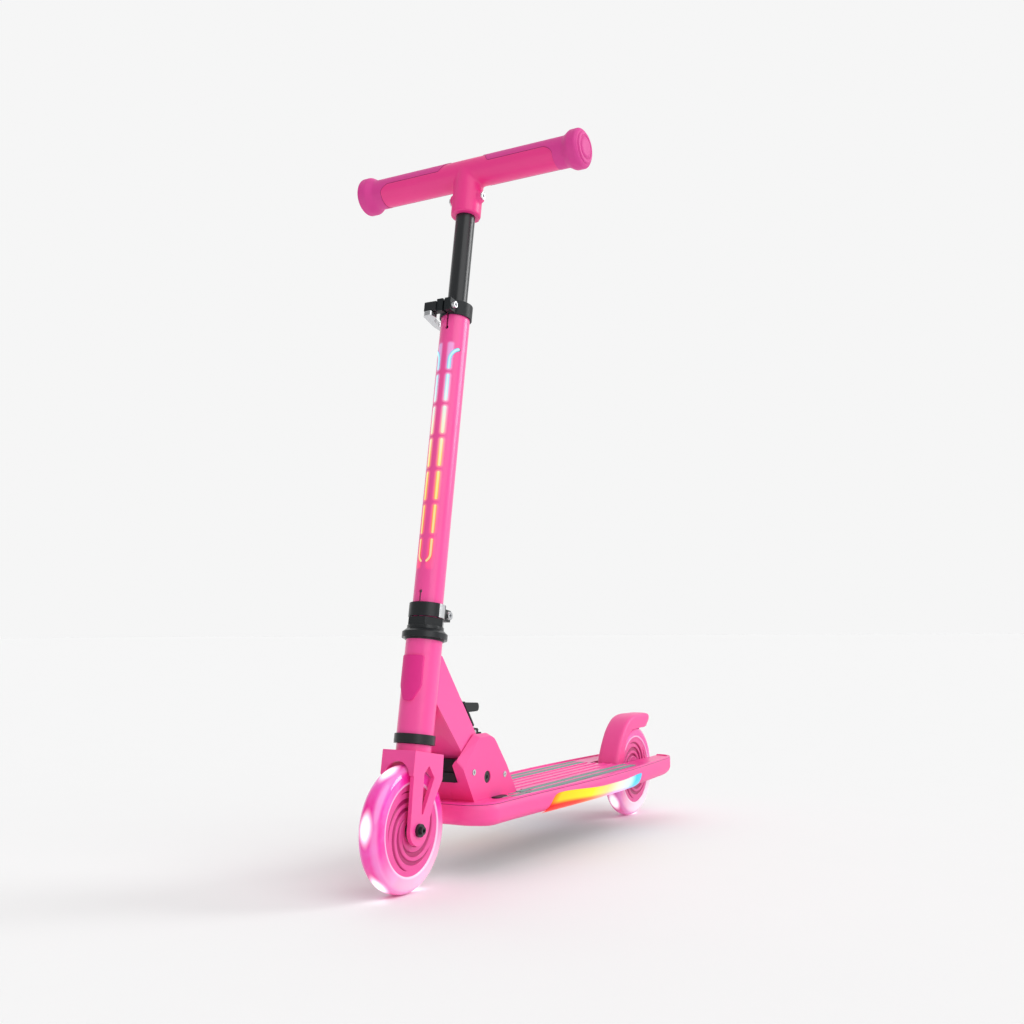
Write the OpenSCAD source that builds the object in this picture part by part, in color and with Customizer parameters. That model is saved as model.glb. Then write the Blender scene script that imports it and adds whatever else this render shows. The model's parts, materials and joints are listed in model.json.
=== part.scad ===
// Folding kick scooter for a child, with light-up wheels, deck and steering column.
// Ground is Z = 0, the front points to -Y, and the origin lies midway between the axles.

/* [Wheels] */
// Radius of each wheel over its tyre
wheel_r = 62.5; // [60:0.5:65]
// Width of each tyre
wheel_w = 24; // [22:1:25]
// Distance between the two axles
wheelbase = 554; // [550:1:560]
// Radius of the hub disc inside the tyre
hub_r = 44.4; // [42:0.2:46]
// Radius of the wheel axle bolts
axle_r = 4; // [3.9:0.1:4]
// Outer radius of the wheel bearings
bearing_r = 11; // [11:0.5:12]
// Number of curved vanes on each hub face
vane_count = 5; // [3:1:7]

/* [Steering column] */
// Angle that the column leans back from upright
rake = 9.8; // [8:0.1:10]
// Distance of the front axle ahead of the column's axis
fork_lead = 6.6; // [5:0.1:8]
// Outer radius of the steerer tube
steerer_r = 14.3; // [14.3:0.1:14.3]
// Outer radius of the coloured column tube
tube_r = 16; // [16:0.5:16.5]
// Outer radius of the telescoping stem
stem_r = 11; // [10:0.5:11]
// Outer radius of the head tube
head_r = 19; // [19:0.5:20]
// Height along the column where the column tube begins
tube_start = 211.6; // [211.6:1:211.6]
// Height along the column where the column tube ends
tube_end = 561.6; // [561.6:0.4:562]
// Height along the column of the handlebar's axis
bar_height = 729.4; // [700:1:740]

/* [Column lights] */
// Number of light windows in each of the two rows
window_count = 7; // [5:1:7]
// Angle of each row of windows from the front of the tube
window_angle = 25; // [20:1:30]
// Length of one light window
window_len = 31; // [24:1:31]
// Width of one light window
window_w = 3.8; // [3:0.1:4]

/* [Handlebar] */
// Half the length of the handlebar between its end flanges
bar_half = 134; // [120:1:140]
// Radius of the bar over its grips
grip_r = 17.3; // [17:0.1:18]
// Radius of the flange at each end of the grips
flange_r = 22; // [20:0.5:23]

/* [Deck] */
// Height of the deck's standing surface
deck_top = 78; // [76:1:79]
// Half width of the deck at its nose
nose_half = 52; // [48:1:54]
// Half width of the deck at its widest place
waist_half = 61; // [58:1:62]
// Half width of the deck at its tail
tail_half = 50.5; // [48:0.5:51]
// Distance of the deck's nose ahead of the origin
nose_y = 205; // [200:1:206]
// Distance of the deck's tail behind the origin
tail_y = 330; // [322:1:332]
// Height of the lower edge of the deck's skirt
skirt_bottom = 54.5; // [54:0.5:57]
// Number of raised ribs along the deck
rib_count = 7; // [5:1:9]

/* [Folding hinge] */
// Position of the folding pivot along the scooter
pivot_y = -155; // [-156:1:-154]
// Height of the folding pivot
pivot_z = 101; // [100:1:102]
// Outer half width of the two hinge covers
cover_half = 26; // [26:0.5:27]

/* [Hidden] */
$fn = 64;
slip = 0.05;            // radial clearance of a shaft that turns or slides in its hole
gap = 0.3;              // clearance between other moving faces
far = 500;              // longer than anything that is cut right through

pink = "#ff62a8";
deep_pink = "#e83a94";
hot_pink = "#ff3fa8";
charcoal = "#2e3033";
steel = "#c8cace";
board_green = "#2f6b4a";

// Column stations, measured along the column from the foot of its axis
crown_top = 75.4;
crown_deep = 24.4;
crown_front = 25.5;
crown_back = 26.2;
leg_out = 19.8;
leg_in = 15.5;
leg_end_r = 15;
plate_t = 5;
cup_bottom = 83;
head_bottom = 92.4;
head_top = 188;
cup_top = 199;
steerer_top = 255;
nut_seat = cup_top + gap;
thin_nut_h = 3.5;
hex_nut_h = 8.2;
cup_r = 17;
bearing_h = 7;
bush_h = 30;
collar_h = 16.3;
collar_r = 18;
top_collar_s = 547.3;
lower_collar_s = tube_start + 0.4;
lower_collar_h = 14.3;
socket_bottom = 674.6;
stem_bottom = 380;
clamp_s = 554.6;
clamp_f = -22;
clamp_bolt_r = 2.5;
cam_r = 3;
lever_pin_x = -17;
collar_bolt_s = 219.1;
collar_bolt_f = 26.5;
ear_x = 8.5;
tee_bolt_s = 697.4;
tee_boss = 19;
tee_bore_r = 11.5;

// Deck stations
skirt_t = 3;
board_t = 3;
board_bottom = deck_top - board_t;
rim_h = 1.5;
nose_corner = 32;
tail_corner = 24;
nose_straight = -nose_y + nose_corner;
waist_y = 90;
tail_straight = tail_y - tail_corner;
slot_half = 22.5;
slot_front = 200;
rail_in = 14;
rail_out = 17.5;
rail_top = 72;
rail_bottom = skirt_bottom + 2.5;
axle_y = wheelbase / 2;
cheek_in = 20;
cheek_out = 23;
plate_bottom = rail_top;
bracket_base = board_bottom - 0.2;
fender_half = 16;
fender_pin_y = 207;
fender_pin_z = 68;
light_bottom = skirt_bottom - 2;
light_top = 70;
button_y = -138;
button_x = 31;

// ---------- helpers ----------

// Points of an arc from angle a0 to a1
function arc(x, y, r, a0, a1, n = 8) =
    [for (i = [0:n]) let (a = a0 + (a1 - a0) * i / n) [x + r * cos(a), y + r * sin(a)]];

function unit(v) = v / norm(v);
function turn(a) = (a + 540) % 360 - 180;

// One corner p between neighbours a and b, rounded by a circle that touches both sides
function corner(a, p, b, r, n) =
    let (u = unit(a - p), v = unit(b - p), half = acos(u * v) / 2,
         centre = p + unit(u + v) * r / sin(half),
         from = p + u * r / tan(half) - centre, to = p + v * r / tan(half) - centre,
         a0 = atan2(from[1], from[0]), sweep = turn(atan2(to[1], to[0]) - a0))
    [for (i = [0:n]) centre + r * [cos(a0 + sweep * i / n), sin(a0 + sweep * i / n)]];

// Polygon with every corner rounded; r is one radius or one for each corner, 0 keeps it sharp
function rounded(points, r, n = 6) =
    let (last = len(points) - 1)
    [for (i = [0:last]) let (radius = is_list(r) ? r[i] : r)
        each (radius == 0 ? [points[i]]
            : corner(points[i == 0 ? last : i - 1], points[i], points[i == last ? 0 : i + 1], radius, n))];

function mirrored(points) = [for (i = [len(points) - 1:-1:0]) [-points[i][0], points[i][1]]];

// Tube standing on Z = 0
module tube(outer, inner, h) {
    difference() {
        cylinder(r = outer, h = h);
        translate([0, 0, -1]) cylinder(r = inner, h = h + 2);
    }
}

// Outline given as (Y, Z) points, made solid from x0 to x1
module side_plate(points, x0, x1) {
    translate([x0, 0, 0]) rotate([90, 0, 90]) linear_extrude(x1 - x0) polygon(points);
}

// Children placed at both sides of the middle plane
module both_sides() {
    children();
    mirror([1, 0, 0]) children();
}

// A cylinder along X from x0 to x1
module rod_x(r, x0, x1) {
    translate([x0, 0, 0]) rotate([0, 90, 0]) cylinder(r = r, h = x1 - x0);
}

module tube_x(outer, inner, x0, x1) {
    translate([x0, 0, 0]) rotate([0, 90, 0]) tube(outer, inner, x1 - x0);
}

// A cap bolt along X: its head starts at x1 and holds a hexagonal socket
module cap_bolt(r, x0, x1, head_r, head_h, key_r) {
    rod_x(r, x0, x1);
    difference() {
        rod_x(head_r, x1, x1 + head_h);
        translate([x1 + head_h * 0.45, 0, 0]) rotate([0, 90, 0]) cylinder(r = key_r, h = head_h, $fn = 6);
    }
}

// A hexagonal nut along X from x0 to x1, on a bolt of radius r
module hex_nut(r, x0, x1, across) {
    translate([x0, 0, 0]) rotate([0, 90, 0]) difference() {
        cylinder(r = across, h = x1 - x0, $fn = 6);
        translate([0, 0, -1]) cylinder(r = r, h = x1 - x0 + 2);
    }
}

// Frame of the column: local Z along the column, local Y to the rear
module on_column() {
    translate([0, -axle_y, wheel_r]) rotate([-rake, 0, 0]) translate([0, fork_lead, 0]) children();
}

module at_front_axle() { translate([0, -axle_y, wheel_r]) children(); }
module at_rear_axle() { translate([0, axle_y, wheel_r]) children(); }
module at_pivot() { translate([0, pivot_y, pivot_z]) children(); }

// ---------- wheels ----------

shoulder = 10.5;
half_w = wheel_w / 2;
hub_half = 11.1;
seat_in = 4.1;

module tyre() {
    side = wheel_r - 0.4 - shoulder;
    profile = concat(
        [[hub_r, -half_w], [hub_r, half_w]],
        arc(side, half_w - shoulder, shoulder, 90, 0),
        [[wheel_r, 0]],
        arc(side, -half_w + shoulder, shoulder, 0, -90));
    color(hot_pink) rotate([0, 90, 0]) rotate_extrude() polygon(profile);
}

// A crescent groove that winds outwards from radius r0 to r1 while it turns by sweep degrees
function vane(r0, r1, sweep, w, n = 12) = concat(
    [for (i = [0:n]) let (t = i / n, r = r0 + (r1 - r0) * t + w * sin(180 * t) / 2)
        r * [cos(sweep * t), sin(sweep * t)]],
    [for (i = [n:-1:0]) let (t = i / n, r = r0 + (r1 - r0) * t - w * sin(180 * t) / 2 - 0.2)
        r * [cos(sweep * t), sin(sweep * t)]]);

module hub() {
    groove = 1.6;
    cavity = 2.6;
    neck_r = 9.5;
    profile = [[bearing_r, hub_half], [hub_r, hub_half], [hub_r, -hub_half], [bearing_r, -hub_half],
        [bearing_r, -seat_in], [neck_r, -seat_in], [neck_r, -cavity], [38, -cavity],
        [38, cavity], [neck_r, cavity], [neck_r, seat_in], [bearing_r, seat_in]];
    color(deep_pink) rotate([0, 90, 0]) difference() {
        rotate_extrude() polygon(profile);
        for (face = [0, 1], k = [0:vane_count - 1])
            mirror([0, 0, face]) translate([0, 0, hub_half - groove])
                rotate([0, 0, k * 360 / vane_count]) linear_extrude(groove + 1) {
                    polygon(vane(16, 39, 210, 3.4));
                }
    }
}

module wheel_bearings() {
    color(steel) both_sides() tube_x(bearing_r, axle_r + slip, seat_in, hub_half - 0.1);
}

// Ring board with six lamps, carried inside the hub
module led_ring() {
    color(board_green) {
        tube_x(36, 12, -0.8, 0.8);
        for (k = [0:5]) rotate([k * 60, 0, 0]) translate([0.8, -2, 29]) cube([1.4, 4, 5]);
    }
}

// Sleeves that hold the wheel midway, and the magnet core between its bearings
module axle_sleeves(reach) {
    color(charcoal) {
        both_sides() tube_x(6, axle_r, hub_half + gap - 0.1, reach);
        tube_x(8.5, axle_r, -seat_in + gap, seat_in - gap);
    }
}

module front_tyre() { at_front_axle() tyre(); }
module front_hub() { at_front_axle() hub(); }
module front_bearings() { at_front_axle() wheel_bearings(); }
module front_leds() { at_front_axle() led_ring(); }
module rear_tyre() { at_rear_axle() tyre(); }
module rear_hub() { at_rear_axle() hub(); }
module rear_bearings() { at_rear_axle() wheel_bearings(); }
module rear_leds() { at_rear_axle() led_ring(); }
module front_spacers() { at_front_axle() axle_sleeves(leg_in); }
module rear_spacers() { at_rear_axle() axle_sleeves(rail_in); }

// Axle bolt with a flange and a cap on its left end, and its nut on the right
module axle(reach, cap_h) {
    nut_t = 3.2;
    flange_t = 3;
    color(charcoal) {
        cap_bolt(axle_r, -reach - nut_t - 0.4, reach + flange_t, axle_r - 0.1, cap_h, 2.2);
        tube_x(6.5, axle_r, reach, reach + flange_t);
        hex_nut(axle_r, -reach - nut_t, -reach, 6.8);
    }
}

module front_axle() { at_front_axle() axle(leg_out, 3); }
module rear_axle() { at_rear_axle() axle(rail_out, 1.5); }

// ---------- fork and headset ----------

module fork() {
    leg = [[-crown_front, crown_top], [crown_back, crown_top], [crown_back + 1.6, crown_top - crown_deep],
        [16.3, 30], [-fork_lead + leg_end_r, 2], [-fork_lead - leg_end_r, 2]];
    window = rounded([[1.2, 62.7], [-6.3, 54.3], [-4.2, 9.4], [12.7, 51.7]], [1.2, 1.6, 1.6, 1.6]);
    crown_long = crown_front + crown_back;
    wall = 4;
    color(pink) on_column() difference() {
        union() {
            both_sides() {
                side_plate(leg, leg_in, leg_out);
                translate([0, -fork_lead, 0]) rod_x(leg_end_r, leg_in, leg_out);
            }
            translate([-leg_out, -crown_front, crown_top - plate_t])
                cube([2 * leg_out, crown_long, plate_t]);
            translate([-leg_out, -crown_front, crown_top - crown_deep])
                cube([2 * leg_out, wall, crown_deep]);
            translate([-leg_out, crown_back - wall, crown_top - 8]) cube([2 * leg_out, wall, 8]);
        }
        cylinder(r = steerer_r, h = far, center = true);
        translate([0, -fork_lead, 0]) rod_x(axle_r, -leg_out - 1, leg_out + 1);
        side_plate(window, -leg_out - 1, leg_out + 1);
        // Arch in the front wall, over the tyre
        translate([0, 0, 50]) rotate([90, 0, 0]) cylinder(r = 14.5, h = 40);
        translate([-14.5, -40, 0]) cube([29, 30, 50]);
    }
}

module steerer() {
    color(steel) on_column() translate([0, 0, crown_top - plate_t])
        tube(steerer_r, steerer_r - 2.2, steerer_top - crown_top + plate_t);
}

module crown_race() {
    color(pink) on_column() translate([0, 0, crown_top])
        tube(18, steerer_r, cup_bottom - gap - crown_top);
}

module headset_cups() {
    bearing_space = bearing_h + 0.5;
    lip = 1.8;
    color(charcoal) on_column() {
        // Lower cup, a ring under the head tube with a spigot inside it
        difference() {
            union() {
                translate([0, 0, cup_bottom]) cylinder(r = 21, h = head_bottom - cup_bottom);
                translate([0, 0, head_bottom]) cylinder(r = cup_r, h = 6);
            }
            cylinder(r = steerer_r + 1, h = far);
            translate([0, 0, head_bottom - bearing_space + 4]) cylinder(r = cup_r - 1.5, h = far);
        }
        // Upper cup, with a lip over the tube and its wide flange
        difference() {
            union() {
                translate([0, 0, head_top]) cylinder(r = 20.4, h = lip + 1);
                translate([0, 0, head_top + lip]) cylinder(r = 23.7, h = 6);
                translate([0, 0, head_top + lip + 6])
                    cylinder(r1 = 23.7, r2 = 20, h = cup_top - head_top - lip - 6);
                translate([0, 0, head_top - 6]) cylinder(r = cup_r, h = 6);
            }
            cylinder(r = steerer_r + 1, h = far);
            translate([0, 0, head_top - 7]) cylinder(r = cup_r - 1.5, h = bearing_space + 7);
        }
    }
}

module headset_bearings() {
    color(steel) on_column() {
        translate([0, 0, head_bottom + 0.5 - 4]) tube(cup_r - 1.5, steerer_r + slip, bearing_h);
        translate([0, 0, head_top + 0.5]) tube(cup_r - 1.5, steerer_r + slip, bearing_h);
    }
}

module headset_nuts() {
    hex_seat = nut_seat + thin_nut_h;
    color(charcoal) on_column() {
        translate([0, 0, nut_seat]) tube(19.2, steerer_r, thin_nut_h);
        difference() {
            translate([0, 0, hex_seat]) cylinder(r = 20.4, h = hex_nut_h, $fn = 6);
            cylinder(r = steerer_r, h = far);
        }
    }
}

// ---------- column tube and its clamps ----------

slit_w = 2.2;
module slit(s0, s1) {
    translate([-slit_w / 2, -far, s0]) cube([slit_w, far, s1 - s0]);
}

// Outline of a line of width w drawn along a path, with round ends
function direction(path, i) = unit(path[min(i + 1, len(path) - 1)] - path[max(i - 1, 0)]);
function stroke(path, w) =
    let (r = w / 2, last = len(path) - 1, d0 = direction(path, 0), d1 = direction(path, last),
         a0 = atan2(d0[1], d0[0]), a1 = atan2(d1[1], d1[0]))
    concat([for (i = [0:last]) let (d = direction(path, i)) path[i] + r * [-d[1], d[0]]],
        arc(path[last][0], path[last][1], r, a1 + 75, a1 - 75, 5),
        [for (i = [last:-1:0]) let (d = direction(path, i)) path[i] - r * [-d[1], d[0]]],
        arc(path[0][0], path[0][1], r, a0 - 105, a0 - 255, 5));

// Middle line of one light window: straight in the middle rows, curved at both ends of a row
function window_path(index) =
    let (reach = (window_len - window_w) / 2)
    index == 0 ? concat([[0, -reach]], arc(14, -5, 14, 180, 112, 6))
    : index == window_count - 1 ? concat([[0, reach]], arc(-9, -1, 9, 0, -48, 6))
    : [[0, -reach], [0, reach]];

// All windows as bars that pass through the front wall of the tube
module windows(w) {
    pitch = 36.8;
    middle = 388.4;
    for (side = [0, 1], i = [0:window_count - 1])
        mirror([side, 0, 0]) rotate([0, 0, window_angle])
            translate([0, 0, middle + pitch * ((window_count - 1) / 2 - i)])
                rotate([90, 0, 0]) linear_extrude(30) polygon(stroke(window_path(i), w));
}

module column_tube() {
    wall_in = steerer_r + slip;
    slot_top = 532.5;
    slot_low = 237.5;
    color(pink) on_column() difference() {
        translate([0, 0, tube_start]) tube(tube_r, wall_in, tube_end - tube_start);
        slit(slot_top, tube_end + 1);
        slit(tube_start - 1, slot_low);
        for (s = [slot_top, slot_low])
            translate([0, 0, s]) rotate([90, 0, 0]) cylinder(r = 2, h = far);
        windows(window_w);
    }
}

module column_lenses() {
    color("#bff4ff") on_column() intersection() {
        translate([0, 0, tube_start]) tube(tube_r + 0.1, steerer_r + 0.1, tube_end - tube_start);
        windows(window_w - 0.04);
    }
}

// Flexible light strips behind the windows, bent to the inside of the tube
module column_leds() {
    color(board_green) on_column() difference() {
        translate([0, 0, 262]) tube(steerer_r - 0.1, stem_r + 1.2, 252);
        // Only the two fronts are kept
        translate([-far / 2, -3, 0]) cube([far, far, far * 2]);
        translate([-1, -far, 0]) cube([2, far, far * 2]);
        both_sides() translate([13.2, -far / 2, 0]) cube([far, far, far * 2]);
    }
}

module top_bush() {
    flange_s = tube_end;
    color(charcoal) on_column() difference() {
        union() {
            translate([0, 0, tube_end - bush_h]) cylinder(r = steerer_r, h = bush_h);
            translate([0, 0, flange_s]) cylinder(r = tube_r, h = 2);
        }
        translate([0, 0, tube_end - bush_h - 1]) cylinder(r = stem_r + slip, h = bush_h + 10);
        slit(tube_end - bush_h - 1, tube_end + 5);
    }
}

// Split ring at height s0 with two ears; the ears point to the front or to the rear
module split_collar(s0, h, r, ear_from, ear_to, ear_half, bolt_f, bolt_s) {
    low = min(ear_from, ear_to);
    color(charcoal) on_column() difference() {
        union() {
            translate([0, 0, s0]) cylinder(r = r, h = h);
            translate([-ear_half, low, s0 + 1]) cube([2 * ear_half, abs(ear_to - ear_from), h - 2]);
        }
        translate([0, 0, s0 - 1]) cylinder(r = tube_r, h = h + 2);
        translate([-1.2, min(0, ear_to - 1), s0 - 1]) cube([2.4, abs(ear_to) + 1, h + 2]);
        translate([0, bolt_f, bolt_s]) rod_x(clamp_bolt_r, -ear_half - 1, ear_half + 1);
    }
}

module lower_collar() {
    split_collar(lower_collar_s, lower_collar_h, 19.1, 14, 32.5, ear_x, collar_bolt_f, collar_bolt_s);
}

module collar_bolt() {
    color(steel) on_column() translate([0, collar_bolt_f, collar_bolt_s]) {
        cap_bolt(clamp_bolt_r, -ear_x - 3.5, ear_x, 4.4, 3.6, 2);
        hex_nut(clamp_bolt_r, -ear_x - 3, -ear_x, 4.4);
    }
}

module top_collar() {
    split_collar(top_collar_s, collar_h, collar_r, -14, -27, 9, clamp_f, clamp_s);
}

// Cross bolt of the quick clamp, its nut and the saddle that the lever's cam bears on
module clamp_bolt() {
    color(charcoal) on_column() {
        translate([0, clamp_f, clamp_s]) cap_bolt(clamp_bolt_r, -9, 9, 3.7, 4.6, 2.1);
        difference() {
            translate([-24, clamp_f - 6.5, clamp_s - 5.2]) cube([15, 11.5, 10.4]);
            translate([lever_pin_x, clamp_f, clamp_s - 6]) cylinder(r = cam_r, h = 9);
        }
    }
}

// Quick lever: it lies round the right side of the tube and swings out to the front
module clamp_lever() {
    blade_s = 543.4;
    blade_h = 5.6;
    cam_s = blade_s + blade_h;
    blade = rounded([[-24.5, -29], [-14, -30], [-11.5, -20], [-19, -14], [-22.3, 0], [-21.5, 18],
        [-24.5, 24], [-27.5, 20], [-29, 0]], [5, 3, 3, 4, 9, 2, 1.4, 3, 12]);
    color(steel) on_column() {
        translate([0, 0, blade_s]) linear_extrude(blade_h) polygon(blade);
        translate([lever_pin_x, clamp_f, cam_s]) cylinder(r = cam_r - slip, h = clamp_s + 2 - gap - cam_s);
    }
}

// ---------- handlebar ----------

module stem_tube() {
    color(charcoal) on_column() difference() {
        translate([0, 0, stem_bottom]) tube(stem_r, stem_r - 1.5, 325);
        translate([0, 0, tee_bolt_s]) rod_x(clamp_bolt_r, -25, 25);
    }
}

// Slide ring at the foot of the stem, notched at the front where the light strips run
module guide_ring() {
    color(charcoal) on_column() difference() {
        translate([0, 0, stem_bottom + 2]) tube(steerer_r, stem_r, 14);
        translate([-14, -far - 2.7, stem_bottom]) cube([28, far, 20]);
    }
}

module tee_bar() {
    core_r = 15.5;
    socket_r = 16.8;
    color(deep_pink) on_column() difference() {
        union() {
            translate([0, 0, bar_height]) tube_x(core_r, tee_bore_r, -bar_half - 8, bar_half + 8);
            translate([0, 0, socket_bottom]) cylinder(r = socket_r, h = bar_height - socket_bottom);
            translate([0, 0, tee_bolt_s]) rod_x(6.5, -tee_boss, tee_boss);
        }
        translate([0, 0, socket_bottom - 1]) cylinder(r = stem_r, h = 34);
        translate([0, 0, tee_bolt_s]) rod_x(clamp_bolt_r, -25, 25);
        translate([0, 0, bar_height]) rod_x(tee_bore_r, -bar_half - 9, bar_half + 9);
    }
}

// Soft grips, cut away at the lower front where the bar's own panel shows
module grips() {
    inner = 15.5;
    start = 21;
    color(hot_pink) on_column() translate([0, 0, bar_height]) both_sides() difference() {
        union() {
            tube_x(grip_r, inner, start, bar_half - 2);
            translate([bar_half - 2, 0, 0]) rotate([0, 90, 0]) difference() {
                union() {
                    cylinder(r1 = grip_r, r2 = flange_r, h = 6);
                    translate([0, 0, 6]) cylinder(r = flange_r, h = 7);
                }
                translate([0, 0, -1]) cylinder(r = inner, h = 20);
            }
        }
        rotate([-50, 0, 0]) translate([start - 1, -far, -7]) cube([bar_half - start - 18, far, 14]);
    }
}

module end_caps() {
    color(hot_pink) on_column() translate([0, 0, bar_height]) both_sides() {
        rod_x(tee_bore_r, bar_half - 6, bar_half + 11);
        translate([bar_half + 11, 0, 0]) rotate([0, 90, 0])
            cylinder(r1 = flange_r - 1, r2 = flange_r - 5, h = 4);
    }
}

module tee_bolt() {
    color(steel) on_column() translate([0, 0, tee_bolt_s]) {
        cap_bolt(clamp_bolt_r, -tee_boss - 3.5, tee_boss, 4.4, 2.5, 2);
        hex_nut(clamp_bolt_r, -tee_boss - 3, -tee_boss, 4.6);
    }
}

// ---------- folding neck ----------

module down_tube() {
    side = [[-241, 236], [-227, 231], [-162, 142], [-190, 122.7], [-240, 182], [-252, 187]];
    inner = [[-241, 228], [-229, 226], [-167, 142], [-189, 127], [-238, 186], [-252, 190]];
    // Half widths at the foot and at the head tube
    taper = [[-19.5, 120], [19.5, 120], [14.5, 240], [-14.5, 240]];
    core = [[-16.8, 100], [16.8, 100], [12, 250], [-12, 250]];
    color(pink) difference() {
        intersection() {
            side_plate(side, -30, 30);
            rotate([90, 0, 0]) linear_extrude(far) polygon(taper);
        }
        intersection() {
            side_plate(inner, -30, 30);
            rotate([90, 0, 0]) linear_extrude(far) polygon(core);
        }
        on_column() cylinder(r = head_r, h = far);
    }
}

module head_tube() {
    color(pink) on_column() difference() {
        translate([0, 0, head_bottom]) cylinder(r = head_r, h = head_top - head_bottom);
        cylinder(r = steerer_r + 1.7, h = far);
        translate([0, 0, head_bottom - 1]) cylinder(r = cup_r, h = 7);
        translate([0, 0, head_top - 6]) cylinder(r = cup_r, h = 7);
    }
}

// Plain shield on the front of the head tube, with no mark
module head_badge() {
    shield = rounded([[-12.6, 171], [12.3, 171], [12.3, 140], [5, 124.6], [-5, 124.6], [-12.6, 140]],
        [2, 2, 9, 5, 5, 9]);
    color(deep_pink) on_column() intersection() {
        tube(head_r + 2, head_r, 200);
        rotate([90, 0, 0]) linear_extrude(30) polygon(shield);
    }
}

module hinge_block() {
    half = cheek_in - 0.6;
    nose_half_w = 12.8;
    nose = [[-197, 122.5], [-190, 122.5], [-188, 123.8], [-180, 102], [-200, 110.2]];
    web = [[-190, 122.6], [-162, 141.9], [-146, 125], [-142, 104], [-155, 86], [-172, 97], [-180, 102],
        [-188, 105.3]];
    lug = [[-161.2, 142.6], [-163.5, 148], [-160, 153], [-152.5, 152], [-144.5, 147], [-146, 128],
        [-155, 128]];
    color(charcoal) difference() {
        union() {
            side_plate(nose, -nose_half_w, nose_half_w);
            side_plate(web, -half, half);
            at_pivot() rod_x(16, -half, half);
            both_sides() side_plate(lug, 8, 12);
        }
        at_pivot() rod_x(axle_r + slip, -half - 1, half + 1);
        at_lever_pin() rod_x(lever_pin_r, -20, 20);
        // Guide of the latch pin, open towards the lever
        hull() for (lift = [0, 12]) translate([0, latch_y + lift * 6 / 38.5, latch_z + lift * 38 / 38.5])
            rod_x(latch_r + slip, -25, 25, $fn = 32);
    }
}

lever_pin_r = 2.5;
latch_r = 3;
latch_y = -149;
latch_z = 139;
module at_lever_pin() { translate([0, -158, 148]) children(); }

module lever_pin() {
    color(steel) at_lever_pin() rod_x(lever_pin_r, -12.5, 12.5);
}

// Foot pedal and its arm, which turn together about the lever pin
module release_lever() {
    arm = [[-153, 146], [-158, 143.5], [-161.8, 146], [-169.8, 157], [-167, 159], [-155, 152]];
    strap = [[-168.8, 155], [-188, 181.3], [-186.2, 182.4], [-167.2, 156.3]];
    pedal = rounded([[-189.6, 184], [-187, 181], [-154, 179.5], [-154, 170.5], [-179.6, 170.5]],
        [0, 0, 4, 4, 0]);
    color(charcoal) difference() {
        union() {
            side_plate(arm, -7.4, 7.4);
            side_plate(strap, -17, 17);
            side_plate(pedal, -15, 15);
        }
        at_lever_pin() rod_x(lever_pin_r + slip, -20, 20);
    }
}

// Cross pin that the lever lifts out of the lock
module latch_pin() {
    color(steel) translate([0, latch_y, latch_z]) rod_x(latch_r, -19, 19);
}

// ---------- hinge on the deck ----------

// Side outline of the hinge covers, and of the steel cheeks behind them
cover_side = rounded([[-204, 113.6], [-171, 143.6], [-141.5, 143.6], [-112.5, 109.5], [-91, deck_top],
    [-182.5, deck_top]], [2, 8, 18, 50, 0, 0]);
cover_mid = rounded([[-207.5, 121], [-205.5, 124.9], [-189, 135.8], [-174.5, 147.2], [-142, 146.8],
    [-112, 110], [-93, deck_top], [-182.5, deck_top]], [2, 2, 8, 6, 18, 0, 0, 0]);
cheek_side = rounded([[-190, 108], [-174, 130], [-150, 135], [-120, 106], [-103, bracket_base],
    [-178, bracket_base]], [3, 6, 14, 20, 0, 0]);

module hinge_bracket() {
    base_from = -178;
    base_long = 86;
    color(steel) difference() {
        union() {
            both_sides() side_plate(cheek_side, cheek_in, cheek_out);
            translate([-cheek_out, base_from, plate_bottom])
                cube([2 * cheek_out, base_long, bracket_base - plate_bottom + 1]);
            translate([-cheek_out, base_from, plate_bottom]) cube([2 * cheek_out, 4, 24]);
        }
        at_pivot() rod_x(axle_r, -30, 30);
        for (p = screw_places) translate([0, p[0], p[1]]) rod_x(screw_r, -30, 30);
    }
}

screw_places = [[-183, 108.6], [-118, 100]];
screw_r = 1.6;

// Moulded shells: a side wall, a bevelled lip along the neck and a flat front wall
module hinge_covers() {
    lip = cheek_in;
    wall = cheek_out + slip;
    room = [[-175.6, 70], [-198.8, 110], [-192, 121], [-175, 133], [-149, 139], [-129, 127],
        [-95, 70]];
    color(pink) both_sides() difference() {
        hull() {
            side_plate(cover_side, cover_half - 0.1, cover_half);
            side_plate(cover_mid, 0.1, lip);
        }
        // Room for the steel bracket and the turning neck
        side_plate(room, -1, wall);
        side_plate([[-230, 129], [-195, 126], [-186, 98.5], [-80, 70], [-80, 160], [-230, 160]], -1, lip);
        side_plate([[-230, 98.5], [-180, 98.5], [-180, 130], [-230, 130]], -1, 13.4);
        // The front wall falls away beside the neck's nose
        translate([0, -195, 0]) rotate([90, 0, 0]) linear_extrude(40)
            polygon([[13, 116.8], [lip + 0.1, 124.8], [lip + 0.1, 160], [13, 160]]);
        at_pivot() rod_x(6.6, 0, 40);
        for (p = screw_places) translate([0, p[0], p[1]]) {
            rod_x(screw_r, 0, 40);
            rod_x(3.4, cover_half - 1, 40);
        }
    }
}

module cover_screws() {
    color(steel) both_sides() for (p = screw_places) translate([0, p[0], p[1]])
        cap_bolt(screw_r, cheek_in, cover_half - 1, 3.3, 1.6, 1.3);
}

module fold_bolt() {
    color(charcoal) at_pivot() {
        cap_bolt(axle_r, -cheek_out - 2, cheek_out, 6.2, 2, 2.6);
        hex_nut(axle_r, -cheek_out - 2, -cheek_out, 6.4);
    }
}

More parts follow.
